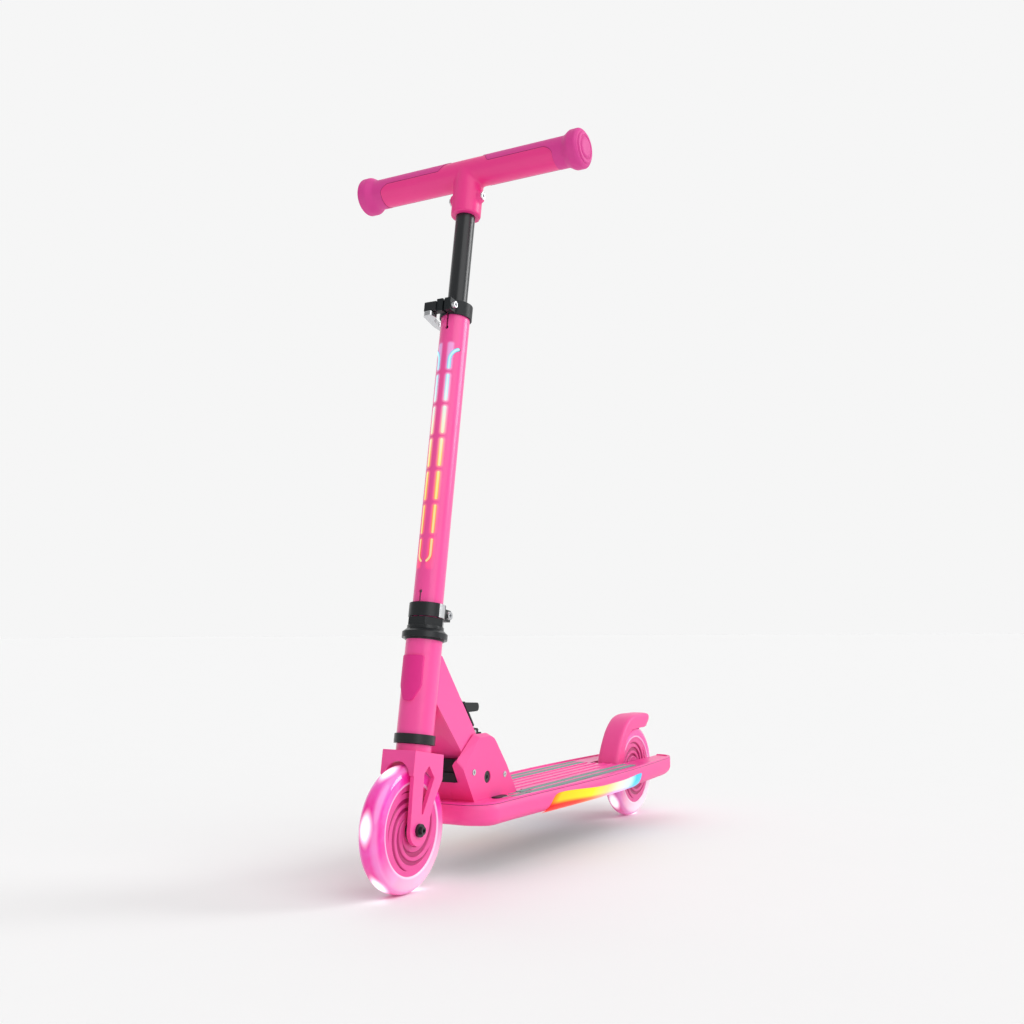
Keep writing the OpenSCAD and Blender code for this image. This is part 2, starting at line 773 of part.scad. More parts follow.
// Rubber stop that the neck leans on when the scooter stands ready to ride
module stop_bumper() {
    color(charcoal) side_plate([[-199, 98.8], [-178, 98.8], [-178, 96.1], [-174.2, 96.1], [-174.2, 97.6],
        [-180, 101.5], [-199, 109.3]], -13, 13);
}

// ---------- deck ----------

// Half width of the deck at y: it swells from the nose to the waist and narrows to the tail
function swell(y, y0, y1, sweep) = 1 - cos(sweep * (y - y0) / (y1 - y0));
function half_width(y) = y < waist_y
    ? nose_half + (waist_half - nose_half) * swell(y, nose_straight, waist_y, 180) / 2
    : waist_half - (waist_half - tail_half) * swell(y, waist_y, tail_straight, 90);

// One side of the deck's outline from the nose to the slot of the rear wheel, moved in by inset
function deck_half(inset, slot = slot_half) = concat(
    arc(nose_half - nose_corner, nose_straight, nose_corner - inset, -90, 0),
    [for (i = [1:24]) let (y = nose_straight + (tail_straight - nose_straight) * i / 25)
        [half_width(y) - inset, y]],
    arc(tail_half - tail_corner, tail_straight, tail_corner - inset, 0, 90),
    [[slot, tail_y - inset], [slot, slot_front - inset]]);

function deck_outline(inset, slot = slot_half) =
    concat(deck_half(inset, slot), mirrored(deck_half(inset, slot)));

module deck_board() {
    rib_w = 3;
    rib_from = -78;
    rib_to = 196;
    pitch = 12.5;
    color(pink) difference() {
        union() {
            translate([0, 0, board_bottom]) linear_extrude(board_t) polygon(deck_outline(0));
            // Rim round the edge
            translate([0, 0, deck_top]) linear_extrude(rim_h) difference() {
                polygon(deck_outline(0));
                polygon(deck_outline(3.5, slot_half - 1));
                translate([-slot_half - 1, slot_front - 5]) square([2 * slot_half + 2, 200]);
            }
            // Ribs along the standing surface
            for (i = [0:rib_count - 1]) let (x = (i - (rib_count - 1) / 2) * pitch)
                translate([x - rib_w / 2, rib_from, deck_top]) cube([rib_w, rib_to - rib_from, 1]);
        }
        // Window for the hinge bracket
        translate([-cheek_out - 0.2, -179.8, 0]) cube([2 * cheek_out + 0.4, 88, far]);
        // Hole of the light button
        translate([button_x, button_y, 0]) button_outline(far, gap);
        for (x = grip_rows)
            translate([x - grip_w / 2, grip_from, deck_top - 1]) cube([grip_w, grip_long, 10]);
    }
}

grip_rows = [-43.75, -31.25, 31.25, 43.75];
grip_w = 7.5;
grip_from = -96;
grip_long = 292;

module deck_grips() {
    color("#55605c") for (x = grip_rows)
        translate([x - grip_w / 2, grip_from, deck_top - 1]) cube([grip_w, grip_long, 2]);
}

skirt_side = [[-nose_y - 1, 63.5], [-nose_y + 3, 58], [-nose_y + 11, skirt_bottom], [250, skirt_bottom],
    [302, 55.8], [320, 59.5], [tail_y + 1, 66], [tail_y + 1, board_bottom], [-nose_y - 1, board_bottom]];

// Outline of the light strip seen from the side: slanted ends and a dip along its upper edge
function light_side(grow) =
    let (top = light_top + grow, low = light_bottom - grow)
    rounded([[-54 - grow, top + 3], [-81 - 2 * grow, low], [174 + 2 * grow, low], [194 + 2 * grow, top],
        [130, top - 2.5], [60, top - 2], [-4, top + 2.6]], [3, 5, 6, 2, 0, 0, 0]);

module deck_skirt() {
    color(pink) difference() {
        intersection() {
            translate([0, 0, skirt_bottom]) linear_extrude(board_bottom - skirt_bottom) difference() {
                polygon(deck_outline(0.4));
                polygon(deck_outline(skirt_t, slot_half + skirt_t));
            }
            side_plate(skirt_side, -far, far);
        }
        side_plate(light_side(0.05), -far, far);
        // The frame's rails pass through the front of the wheel slot
        translate([-rail_out - 1, slot_front - skirt_t - 1, 0]) cube([2 * rail_out + 2, skirt_t + 2, far]);
    }
}

module side_lights() {
    color("#ffd9a0") intersection() {
        translate([0, 0, light_bottom]) linear_extrude(board_bottom - light_bottom - 1) difference() {
            polygon(deck_outline(0.2));
            polygon(deck_outline(skirt_t));
            translate([-40, -far]) square([80, far * 2]);
        }
        side_plate(light_side(0), -far, far);
    }
}

module side_leds() {
    color(board_green) both_sides() {
        translate([46.5, -60, 58]) cube([1.6, 250, 9]);
        for (i = [0:9]) translate([48.1, -52 + i * 25, 60.5]) cube([1.2, 4, 4]);
    }
}

module belly_pan() {
    color(charcoal) difference() {
        translate([0, 0, skirt_bottom]) linear_extrude(2) intersection() {
            polygon(deck_outline(skirt_t + 0.1, slot_half + skirt_t + 0.1));
            translate([-far / 2, -188]) square([far, 188 + slot_front - 8]);
        }
        translate([-14.6, -10.6, 0]) cube([29.2, 121.2, far]);
    }
}

module deck_frame() {
    rail = [[-190, rail_bottom], [200, rail_bottom], [axle_y, wheel_r - 11], [axle_y, wheel_r + 11],
        [262, rail_top], [-190, rail_top]];
    color(steel) difference() {
        union() {
            both_sides() side_plate(rail, rail_in, rail_out);
            at_rear_axle() both_sides() rod_x(11, rail_in, rail_out);
            translate([-cheek_out, -190, rail_top - 3]) cube([2 * cheek_out, 98, 3]);
            translate([-40, 40, rail_top - 3]) cube([80, 30, 3]);
            translate([-40, 165, rail_top - 3]) cube([80, 28, 3]);
        }
        at_rear_axle() rod_x(axle_r, -30, 30);
        at_fender_pin() rod_x(fender_pin_r, -30, 30);
    }
}

module battery_pack() {
    color("#3a6ea8") for (x = [-8.1, 0, 8.1])
        translate([x, -5, 63.5]) rotate([-90, 0, 0]) cylinder(r = 4.1, h = 110);
}

module control_board() {
    color(board_green) {
        translate([-11, -80, 60]) cube([22, 60, 1.6]);
        translate([-6, -66, 61.6]) cube([12, 12, 2]);
        translate([-4, -42, 61.6]) cube([8, 10, 3]);
    }
}

module battery_door() {
    color(charcoal) translate([-14.4, -10.4, skirt_bottom]) cube([28.8, 120.8, 1.8]);
}

module button_outline(h, grow) {
    r = 4.5 + grow;
    for (dy = [-8, 8]) translate([0, dy, 0]) cylinder(r = r, h = h);
    translate([-r, -8, 0]) cube([2 * r, 16, h]);
}

module light_button() {
    color(charcoal) translate([button_x, button_y, board_bottom - 1]) button_outline(5.2, 0);
}

// ---------- rear brake ----------

fender_pin_r = 2.5;
module at_fender_pin() { translate([0, fender_pin_y, fender_pin_z]) children(); }

module fender_pin() {
    color(steel) at_fender_pin() rod_x(fender_pin_r, -rail_out - 2, rail_out + 2);
}

// Shell outline seen from the side, about the axle, moved in by inset
function fender_side(inset) = rounded([[-71 + inset, 11], [-71 + inset, 14], [-57 + inset, 41],
    [-39 + inset, 64 - inset / 2], [-13 + inset / 2, 76.8 - inset / 3], [46 - inset / 2, 75.4 - inset / 3],
    [46 - inset / 2, 56.5], [-60, 11]],
    [0, 6, 40, 24, 50, 9, 5, 0]);

module rear_fender() {
    // Opening beside the hub: a full arch that ends under the flat tail
    arch = concat([[-47.5, -20]], [for (a = [0:12.5:75]) [-47.5 * pow(cos(a), 0.83), 58 * pow(sin(a), 0.83)]],
        [[60, 57.5], [60, -20]]);
    room = [[0, -14], [54, -14], [62, -11.5], [wheel_r + 4, -9], [wheel_r + 4, 9], [62, 11.5], [54, 14],
        [0, 14]];
    lug = rounded([[202.4, 63.2], [202.4, 72.5], [210, 78.5], [213, 76], [212, 63.2]], [4.5, 2, 0, 0, 4.5]);
    color(pink) difference() {
        union() {
            at_rear_axle() hull() {
                side_plate(fender_side(0), -8.5, 8.5);
                side_plate(fender_side(3.6), -12.6, 12.6);
                side_plate(fender_side(10), -fender_half, fender_half);
            }
            both_sides() side_plate(lug, 9.5, 13.6);
        }
        at_rear_axle() {
            side_plate(arch, -30, 30);
            // Room for the tyre under the shell
            rotate([0, 90, 0]) rotate_extrude() polygon(room);
            side_plate([[2, 40], [2, 74.6], [40, 73.6], [42, 59.5], [42, 40]],
                -fender_half + 2, fender_half - 2);
        }
        at_fender_pin() rod_x(fender_pin_r + slip, -30, 30);
    }
}

// Steel pad under the fender that rubs on the tyre
module brake_pad() {
    pad_in = wheel_r + 2.8;
    color(steel) at_rear_axle() intersection() {
        tube_x(wheel_r + 4, pad_in, -9, 9);
        side_plate([[0, 0], [-36, 90], [6, 90]], -10, 10);
    }
}

module brake_spring() {
    color(steel) at_fender_pin() tube_x(4.2, fender_pin_r + 0.2, -9, 9);
}

// ---------- assembly ----------

deck_frame();
hinge_bracket();
hinge_covers();
cover_screws();
fold_bolt();
stop_bumper();
deck_board();
deck_grips();
deck_skirt();
belly_pan();
side_lights();
side_leds();
battery_pack();
control_board();
battery_door();
rear_axle();
rear_spacers();
fender_pin();
light_button();
down_tube();
head_tube();
head_badge();
headset_cups();
headset_bearings();
hinge_block();
lever_pin();
release_lever();
latch_pin();
fork();
steerer();
crown_race();
headset_nuts();
lower_collar();
collar_bolt();
column_tube();
column_lenses();
column_leds();
top_bush();
top_collar();
clamp_bolt();
front_axle();
front_spacers();
clamp_lever();
stem_tube();
guide_ring();
tee_bar();
grips();
end_caps();
tee_bolt();
front_tyre();
front_hub();
front_bearings();
front_leds();
rear_tyre();
rear_hub();
rear_bearings();
rear_leds();
rear_fender();
brake_pad();
brake_spring();
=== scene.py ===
# %% [markdown]
# # A child's kick scooter, dressed in Blender
# The exact parts come from the CAD frame: tubes, bolts, brackets and bearings. This lesson gives each of
# them a finish, and adds the pieces whose charm is in a curved or glowing surface: clear tyres, swirled
# hubs, soft grips, the light strips, the fender and the rounded skirt of the deck. Sizes are in millimetres
# here and are turned into Blender's metres when a mesh is made.

# %% Load the frame
import json
import math
import bmesh
import bpy
import numpy as np
from mathutils import Matrix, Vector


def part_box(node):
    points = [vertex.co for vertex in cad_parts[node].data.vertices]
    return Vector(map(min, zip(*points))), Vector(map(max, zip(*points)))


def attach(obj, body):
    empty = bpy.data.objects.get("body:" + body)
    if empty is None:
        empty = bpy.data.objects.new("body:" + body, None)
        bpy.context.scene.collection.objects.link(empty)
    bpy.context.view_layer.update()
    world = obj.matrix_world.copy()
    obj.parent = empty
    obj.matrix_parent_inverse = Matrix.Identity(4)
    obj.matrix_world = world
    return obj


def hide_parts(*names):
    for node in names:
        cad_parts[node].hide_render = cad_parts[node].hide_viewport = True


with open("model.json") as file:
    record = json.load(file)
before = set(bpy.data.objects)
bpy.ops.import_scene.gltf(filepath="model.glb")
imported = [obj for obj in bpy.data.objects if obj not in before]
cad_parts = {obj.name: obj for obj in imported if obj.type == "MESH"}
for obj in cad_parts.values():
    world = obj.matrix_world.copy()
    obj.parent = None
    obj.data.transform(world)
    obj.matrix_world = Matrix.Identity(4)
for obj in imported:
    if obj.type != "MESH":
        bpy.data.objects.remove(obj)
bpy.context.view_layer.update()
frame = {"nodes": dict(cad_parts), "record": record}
nodes = frame["nodes"]
record = frame["record"]
body_of_node = {node: body for body, members in record["behaviour"]["bodies"].items() for node in members}
MM = 0.001


# %% [markdown]
# ## Where things are
# Nothing is placed by eye. A wheel's centre is the middle of its CAD tyre, and the steering joint gives the
# leaning line of the column. Points near the column are then easy to write in the column's own frame: x to
# the rider's left, f to the rear, s along the column.

# %% Measure the frame
def corners(node):
    """Lowest and highest corner of a CAD node, in millimetres."""
    low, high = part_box(node)
    return np.array(low) / MM, np.array(high) / MM


def middle(node):
    low, high = corners(node)
    return (low + high) / 2


front_axle = middle("front_tyre")
rear_axle = middle("rear_tyre")
wheel_r = (corners("front_tyre")[1] - corners("front_tyre")[0])[2] / 2
steer = next(joint for joint in record["behaviour"]["joints"] if joint["name"] == "steer")
column_axis = np.array(steer["axis"], float)
column_axis /= np.linalg.norm(column_axis)
rear_way = np.cross(column_axis, [1, 0, 0])
steer_point = np.array(steer["pos_m"], float) / MM
column_foot = steer_point + column_axis * np.dot(front_axle - steer_point, column_axis)


def on_column(x, f, s):
    """A point at x along the world's X, f rearwards and s along the column, from the column's foot."""
    x, f, s = np.broadcast_arrays(*(np.asarray(v, float) for v in (x, f, s)))
    return column_foot + x[..., None] * [1.0, 0, 0] + f[..., None] * rear_way + s[..., None] * column_axis


print("front axle", front_axle, "rear axle", rear_axle, "column axis", column_axis, "rearward", rear_way)


# %% [markdown]
# ## Meshes from grids
# A curved piece is a function of two parameters. Evaluated on a grid it is one array of points, and the
# faces are the same little squares every time. Closing the grid on itself makes a ring or a tube. A closed
# skin has a signed volume, so one sum says whether its faces look outwards.

# %% Grid helpers
def new_piece(name, points, faces, body, uv=None, replaced=(), slot=None, smooth=True):
    """A mesh object from points in millimetres and faces, riding on a CAD body."""
    mesh = bpy.data.meshes.new(name)
    groups = faces if isinstance(faces, list) else [faces]
    mesh.from_pydata((np.asarray(points, float) * MM).tolist(), [],
                     [face for group in groups for face in group.tolist()])
    mesh.polygons.foreach_set("use_smooth", [smooth] * len(mesh.polygons))
    if uv is not None:
        corner_vertex = np.empty(len(mesh.loops), int)
        mesh.loops.foreach_get("vertex_index", corner_vertex)
        mesh.uv_layers.new(name="UVMap").data.foreach_set("uv", np.asarray(uv, float)[corner_vertex].ravel())
    piece = bpy.data.objects.new(name, mesh)
    bpy.context.scene.collection.objects.link(piece)
    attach(piece, body)
    if replaced:
        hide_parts(*replaced)
    print(f"{name}: {len(mesh.vertices)} points, {len(mesh.polygons)} faces")
    return piece


def grid_faces(rows, columns, close_rows=False, close_columns=False):
    """Squares of a rows x columns grid; closing joins the last row or column to the first."""
    i = np.arange(rows if close_rows else rows - 1)[:, None]
    j = np.arange(columns if close_columns else columns - 1)[None, :]
    i2, j2 = (i + 1) % rows, (j + 1) % columns
    square = [i * columns + j, i2 * columns + j, i2 * columns + j2, i * columns + j2]
    return np.stack([np.broadcast_to(corner, (i.size, j.size)) for corner in square], -1).reshape(-1, 4)


def outward(points, faces):
    """The faces, turned over if the closed skin's signed volume is negative."""
    a, b, c, d = (points[faces[:, k]] for k in range(4))
    volume = (np.einsum("ij,ij->i", a, np.cross(b, c)) + np.einsum("ij,ij->i", a, np.cross(c, d))).sum()
    return faces if volume > 0 else faces[:, ::-1]


def ring_skin(name, grid, body, **more):
    """A skin that closes both ways, such as a ring: grid is an array of rows x columns x 3."""
    rows, columns, _ = grid.shape
    points = grid.reshape(-1, 3)
    return new_piece(name, points, outward(points, grid_faces(rows, columns, True, True)), body, **more)


def capped_skin(name, grid, body, uv=None, **more):
    """A tube: each row is a closed loop, and a fan of triangles fills the loop at either end."""
    rows, columns, _ = grid.shape
    points = np.vstack([grid.reshape(-1, 3), grid[0].mean(0), grid[-1].mean(0)])
    quads = grid_faces(rows, columns, close_columns=True)
    j = np.arange(columns)
    j2 = (j + 1) % columns
    last_row = (rows - 1) * columns
    start_fan = np.stack([j * 0 + rows * columns, j, j2], -1)
    end_fan = np.stack([j * 0 + rows * columns + 1, j2 + last_row, j + last_row], -1)
    if outward(points, quads) is not quads:
        quads, start_fan, end_fan = (part[:, ::-1] for part in (quads, start_fan, end_fan))
    if uv is not None:
        uv = np.vstack([uv, uv[0], uv[-1]])
    return new_piece(name, points, [quads, start_fan, end_fan], body, uv=uv, **more)


def smoothstep(low, high, x):
    """0 below low, 1 above high, and 3t^2 - 2t^3 between."""
    t = np.clip((np.asarray(x, float) - low) / (high - low), 0, 1)
    return t * t * (3 - 2 * t)


def fillet(x, r, radius, start, end, count=8):
    """Points of an arc about (x, r) from one angle to another, in degrees."""
    a = np.radians(np.linspace(start, end, count))
    return np.stack([x + radius * np.cos(a), r + radius * np.sin(a)], -1)


# %% [markdown]
# ## Soft edges for the machined parts
# Real edges are never razor sharp: paint and moulding leave a small radius, and that radius is what catches
# the light. A copy of the CAD mesh is welded, its flat triangles are merged, and a Bevel modifier rounds
# every edge that turns more than 30 degrees. The CAD node itself stays as it is for the collision.

# %% A rounded copy of a CAD node
def softened(node, width, segments=2, angle=30, weld=0.004):
    """A copy of a CAD node whose sharp edges are rounded by width millimetres."""
    mesh = nodes[node].data.copy()
    mesh.name = node + "_soft"
    work = bmesh.new()
    work.from_mesh(mesh)
    bmesh.ops.remove_doubles(work, verts=work.verts, dist=weld * MM)
    bmesh.ops.dissolve_limit(work, angle_limit=math.radians(0.4), verts=work.verts, edges=work.edges)
    work.to_mesh(mesh)
    work.free()
    mesh.polygons.foreach_set("use_smooth", [True] * len(mesh.polygons))
    mesh.set_sharp_from_angle(angle=math.radians(angle))
    piece = bpy.data.objects.new(node + "_soft", mesh)
    bpy.context.scene.collection.objects.link(piece)
    bevel = piece.modifiers.new("rounded_edges", "BEVEL")
    bevel.width = width * MM
    bevel.segments = segments
    bevel.limit_method = "ANGLE"
    bevel.angle_limit = math.radians(angle)
    bevel.harden_normals = True
    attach(piece, body_of_node[node])
    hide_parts(node)
    return piece


# %% [markdown]
# ## Paint as arithmetic
# A material is a small formula. The class Link stands for one output of a node, and adding or multiplying
# Links adds the Math nodes, so a mask reads as a line of sums. Paint holds the material and its main
# shader.

# %% Shader arithmetic
class Link:
    """One output of a node, which can be used in sums."""

    def __init__(self, paint, socket):
        self.paint, self.socket = paint, socket

    def math(self, operation, *others):
        """One Math node: this output first, then the other values or links."""
        return self.paint.add("ShaderNodeMath", {"operation": operation}, dict(enumerate((self, *others))))

    def __add__(self, other):
        return self.math("ADD", other)

    def __sub__(self, other):
        return self.math("SUBTRACT", other)

    def __rsub__(self, other):
        return self.paint.add("ShaderNodeMath", {"operation": "SUBTRACT"}, {0: other, 1: self})

    def __mul__(self, other):
        return self.math("MULTIPLY", other)

    def __truediv__(self, other):
        return self.math("DIVIDE", other)

    def __pow__(self, other):
        return self.math("POWER", other)

    __radd__ = __add__
    __rmul__ = __mul__

    def step(self, low, high):
        """0 below low, 1 above high, smooth between."""
        return self.paint.add("ShaderNodeMapRange", {"interpolation_type": "SMOOTHSTEP"},
                              {"Value": self, "From Min": low, "From Max": high})


class Paint:
    """A material built round one Principled shader; constants are set straight on its sockets."""

    def __init__(self, name, **constants):
        self.material = bpy.data.materials.new(name)
        self.material.use_nodes = True
        self.tree = self.material.node_tree
        self.shader = self.tree.nodes["Principled BSDF"]
        self.set(**{key.replace("_", " "): value for key, value in constants.items()})

    def add(self, kind, settings=None, values=None, output=0):
        """A node of a kind: its settings first, then the values or links of its sockets."""
        node = self.tree.nodes.new(kind)
        for key, value in (settings or {}).items():
            setattr(node, key, value)
        self.fill(node, values or {})
        return Link(self, node.outputs[output])

    def fill(self, node, values):
        for key, value in values.items():
            if isinstance(value, Link):
                self.tree.links.new(value.socket, node.inputs[key])
            else:
                socket = node.inputs[key]
                socket.default_value = (*value, 1.0) if socket.type == "RGBA" and len(value) == 3 else value

    def set(self, **values):
        self.fill(self.shader, values)

    def place(self):
        """Object coordinates, in metres."""
        return self.add("ShaderNodeTexCoord", output=3)

    def split(self, vector):
        """The x, y and z of a vector."""
        node = self.tree.nodes.new("ShaderNodeSeparateXYZ")
        self.fill(node, {0: vector})
        return [Link(self, out) for out in node.outputs]

    def noise(self, scale, detail=2.0):
        return self.add("ShaderNodeTexNoise", {}, {"Vector": self.place(), "Scale": scale, "Detail": detail})

    def mix(self, mask, first, second):
        """The first colour where the mask is 0, the second where it is 1."""
        return self.add("ShaderNodeMix", {"data_type": "RGBA"}, {0: mask, 6: first, 7: second}, output=2)

    def ramp(self, value, stops):
        """A colour ramp over a list of (position, colour)."""
        node = self.tree.nodes.new("ShaderNodeValToRGB")
        elements = node.color_ramp.elements
        while len(elements) < len(stops):
            elements.new(0.5)
        for element, (position, colour) in zip(elements, stops):
            element.position, element.color = position, (*colour, 1.0)
        self.fill(node, {0: value})
        return Link(self, node.outputs[0])

    def bump(self, height, distance):
        """Raises the surface by up to distance millimetres where height is 1."""
        self.set(Normal=self.add("ShaderNodeBump", {}, {"Height": height, "Distance": distance * MM}))


def coat_with(piece, paint):
    """Gives a piece one paint all over."""
    piece.data.materials.clear()
    piece.data.materials.append(paint.material)


# %% [markdown]
# ## The finishes
# Powder-coated steel has a faint orange peel, moulded plastic a fine grain, rubber a soft one, and zinc-
# plated bolts tiny scratches. Each finish below mixes two close shades with noise, varies the roughness a
# little and adds the matching bump, so that no surface is one flat colour.

# %% A general finish
def finish(name, colour, rough, grain=900.0, depth=0.01, spread=0.05, metal=0.0, coat=0.0, **constants):
    """Two close shades of a colour mixed by noise, with varied roughness and a fine bump."""
    paint = Paint(name, Metallic=metal, Coat_Weight=coat, **constants)
    cloud = paint.noise(14.0, 3.0)
    light = [min(1.0, c * (1 + spread)) for c in colour]
    dark = [c * (1 - spread) for c in colour]
    paint.set(**{"Base Color": paint.mix(cloud, dark, light),
                 "Roughness": rough * 0.85 + cloud * (rough * 0.3)})
    paint.bump(paint.noise(grain, 2.0), depth)
    return paint


powder_pink = dict(colour=(0.98, 0.082, 0.36), rough=0.34, grain=420.0, depth=0.006, coat=0.25,
                   Coat_Roughness=0.12)
pink_paint = finish("pink_paint", **powder_pink)
pink_plastic = finish("pink_plastic", (0.95, 0.078, 0.34), 0.42, grain=1500.0, depth=0.012)
deep_plastic = finish("deep_pink_plastic", (0.90, 0.040, 0.27), 0.40, grain=1300.0, depth=0.012)
badge_plastic = finish("badge_plastic", (0.80, 0.022, 0.26), 0.36, grain=1300.0, depth=0.012)
grip_rubber = finish("grip_rubber", (0.72, 0.042, 0.30), 0.55, grain=2200.0, depth=0.03)
black_steel = finish("black_steel", (0.013, 0.015, 0.017), 0.30, grain=800.0, depth=0.006)
black_plastic = finish("black_plastic", (0.008, 0.011, 0.013), 0.42, grain=1600.0, depth=0.012,
                       Specular_IOR_Level=0.32)
plated_steel = finish("plated_steel", (0.62, 0.63, 0.65), 0.26, grain=1100.0, depth=0.005, metal=0.95)
dark_steel = finish("dark_steel", (0.22, 0.225, 0.235), 0.33, grain=1100.0, depth=0.005, metal=0.85)
board_green = finish("circuit_board", (0.03, 0.16, 0.07), 0.5, grain=600.0, depth=0.01)
cell_wrap = finish("battery_wrap", (0.03, 0.12, 0.40), 0.4, grain=500.0, depth=0.005)


def bare_beyond(name, edge):
    """Black up to x = edge millimetres, and bare steel beyond it."""
    paint = Paint(name)
    x, _, _ = paint.split(paint.place())
    bare = x.step(edge * MM, (edge + 0.05) * MM)
    cloud = paint.noise(300.0)
    paint.set(**{"Base Color": paint.mix(bare, (0.009, 0.011, 0.013), (0.66, 0.67, 0.69)),
                 "Metallic": bare * 0.95, "Roughness": 0.28 + cloud * 0.1})
    paint.bump(paint.noise(1100.0), 0.006)
    return paint


eared_collar = bare_beyond("collar_with_bare_ear", 18.4)
headed_saddle = bare_beyond("saddle_with_bolt_head", 8.8)
print("finishes made:", len(bpy.data.materials))


# %% [markdown]
# ## Tyres of clear polyurethane
# A light-up wheel has a cast tyre of tinted clear polyurethane round a moulded hub, and lamps inside the
# hub shine out through it. The tyre is a closed profile turned round the axle. Glass with a volume would be
# slow and would not export, so the glow is painted: bright spots where the lamps sit, a lilac band beside
# the hub and hot pink between them, partly as light of its own.

# %% Turn the tyres
def turned(profile, centre, steps):
    """Every (x, r) of a profile goes round the X axis: y = r cos a, z = r sin a, about a centre."""
    profile = np.asarray(profile, float)
    a = np.linspace(0, 2 * np.pi, steps, endpoint=False)[:, None]
    x, r = profile[:, 0][None, :], profile[:, 1][None, :]
    return centre + np.stack([x + 0 * a, r * np.cos(a), r * np.sin(a)], -1)


hub_r = 44.4
tyre_half = (corners("front_tyre")[1] - corners("front_tyre")[0])[0] / 2
shoulder = 10.4
crown = wheel_r - shoulder
tyre_profile = np.vstack([
    fillet(tyre_half - 0.8, hub_r + 0.8, 0.8, -90, 0, 5),
    fillet(tyre_half - shoulder, crown, shoulder, 0, 90, 14),
    fillet(-tyre_half + shoulder, crown, shoulder, 90, 180, 14),
    fillet(-tyre_half + 0.8, hub_r + 0.8, 0.8, 180, 270, 5),
])
tyres = {}
for end, centre in (("front", front_axle), ("rear", rear_axle)):
    tyres[end] = ring_skin(f"{end}_clear_tyre", turned(tyre_profile, centre, 180), f"{end}_wheel",
                           replaced=[f"{end}_tyre"], slot="clear_pu")


# %% Paint the tyres
def tyre_paint(name, centre, low_light_share, phase):
    """Hot pink with six white lamp spots on the crown; the third argument is the share of painted light that
    turns the low rear side white.
    """
    paint = Paint(name, Roughness=0.09, Coat_Weight=0.6, Coat_Roughness=0.03, Emission_Strength=1.0)
    x, y, z = paint.split(paint.place())
    y, z = y - centre[1] * MM, z - centre[2] * MM
    radius = (y * y + z * z) ** 0.5
    angle = z.math("ARCTAN2", y)
    wave = (angle * 6.0 + phase).math("COSINE")
    off_middle = x.math("ABSOLUTE")
    lamp_r = ((wave - 1.0) * -0.0042 + off_middle * off_middle * 90.0).step(0.0064, 0.0)
    spot = lamp_r * radius.step(0.054, 0.060)
    side = off_middle.step(0.0085, 0.0118)
    low = (z * -1.0 + y * 0.35).step(-0.012, 0.062)
    streak = paint.noise(30.0, 3.0).step(0.40, 0.74)
    body = paint.mix(streak, (1.0, 0.016, 0.38), (1.0, 0.10, 0.60))
    band = off_middle.step(0.0035, 0.0085) * (1.0 - off_middle.step(0.0098, 0.0118))
    lilac = paint.mix(band * 0.55, body, (0.96, 0.36, 0.80))
    rim = 1.0 - radius.step(0.0452, 0.0478)
    banded = paint.mix(rim * side * 0.75, lilac, (1.0, 0.60, 0.92))
    # painted light: the low rear side is whitened as if lit, and glows a little more in the shine below
    painted_low_light = side * low * low_light_share + low * (low_light_share * 0.25)
    whiteness = paint.add("ShaderNodeClamp", {}, {0: spot + painted_low_light})
    colour = paint.mix(whiteness, banded, (1.0, 0.93, 1.0))
    shine = 0.15 + spot * 0.70 + side * low * 0.06
    paint.set(**{"Base Color": paint.mix(0.12, colour, (0.0, 0.0, 0.0))})
    paint.set(**{"Emission Color": paint.mix(shine, (0.0, 0.0, 0.0), colour)})
    paint.bump(paint.noise(60.0, 2.0), 0.05)
    return paint


coat_with(tyres["front"], tyre_paint("front_tyre_glow", front_axle, 0.45, 0.9))
coat_with(tyres["rear"], tyre_paint("rear_tyre_glow", rear_axle, 0.70, 2.2))


# %% [markdown]
# ## Hubs with swirled grooves
# Each hub face carries curved grooves that wind outwards like a turbine. A groove is a dent in a height
# field: along its middle line the radius grows with the angle, and its width swells and fades with a sine.
# One closed profile is turned round the axle, and the two faces are pushed in wherever a groove runs.

# %% Turn the hubs
def groove_depth(y, z, arms=5, sweep=210.0, inner=15.5, outer=40.0):
    """Deepest arm at each place: middle radius inner + (outer - inner) t, half width 2.7 sin(pi t)^0.8."""
    radius = np.hypot(y, z)
    turn = np.degrees(np.arctan2(y, -z))
    depth = np.zeros_like(radius)
    for arm in range(arms):
        t = ((turn - arm * 360 / arms) % 360) / sweep
        inside = t <= 1
        half = 2.7 * np.sin(np.pi * np.clip(t, 0, 1)) ** 0.8
        across = np.abs(radius - (inner + (outer - inner) * t))
        dent = smoothstep(0, 0.5, half) * (1 - smoothstep(half - 0.7, half + 0.3, across))
        depth = np.maximum(depth, inside * dent)
    return depth


def swirled_hub(name, centre, body, node):
    face_x, groove, seat, bore = 11.1, 1.7, 4.1, 11.0
    radii = np.linspace(bore + 0.4, hub_r - 0.5, 92)
    left = np.stack([np.full_like(radii, face_x), radii], -1)
    profile = np.vstack([[[seat, bore - 1.5], [seat, bore]], left,
                         fillet(face_x - 0.4, hub_r - 0.4, 0.4, 0, 90, 3),
                         fillet(-face_x + 0.4, hub_r - 0.4, 0.4, 90, 180, 3), left[::-1] * [-1, 1],
                         [[-seat, bore], [-seat, bore - 1.5]]])
    grid = turned(profile, np.zeros(3), 400)
    sunk = groove_depth(grid[..., 1], grid[..., 2]) * groove
    on_face = np.abs(grid[..., 0]) > face_x - 0.05
    grid[..., 0] -= np.sign(grid[..., 0]) * on_face * sunk
    return ring_skin(name, grid + centre, body, replaced=[node], slot="hub_plastic")


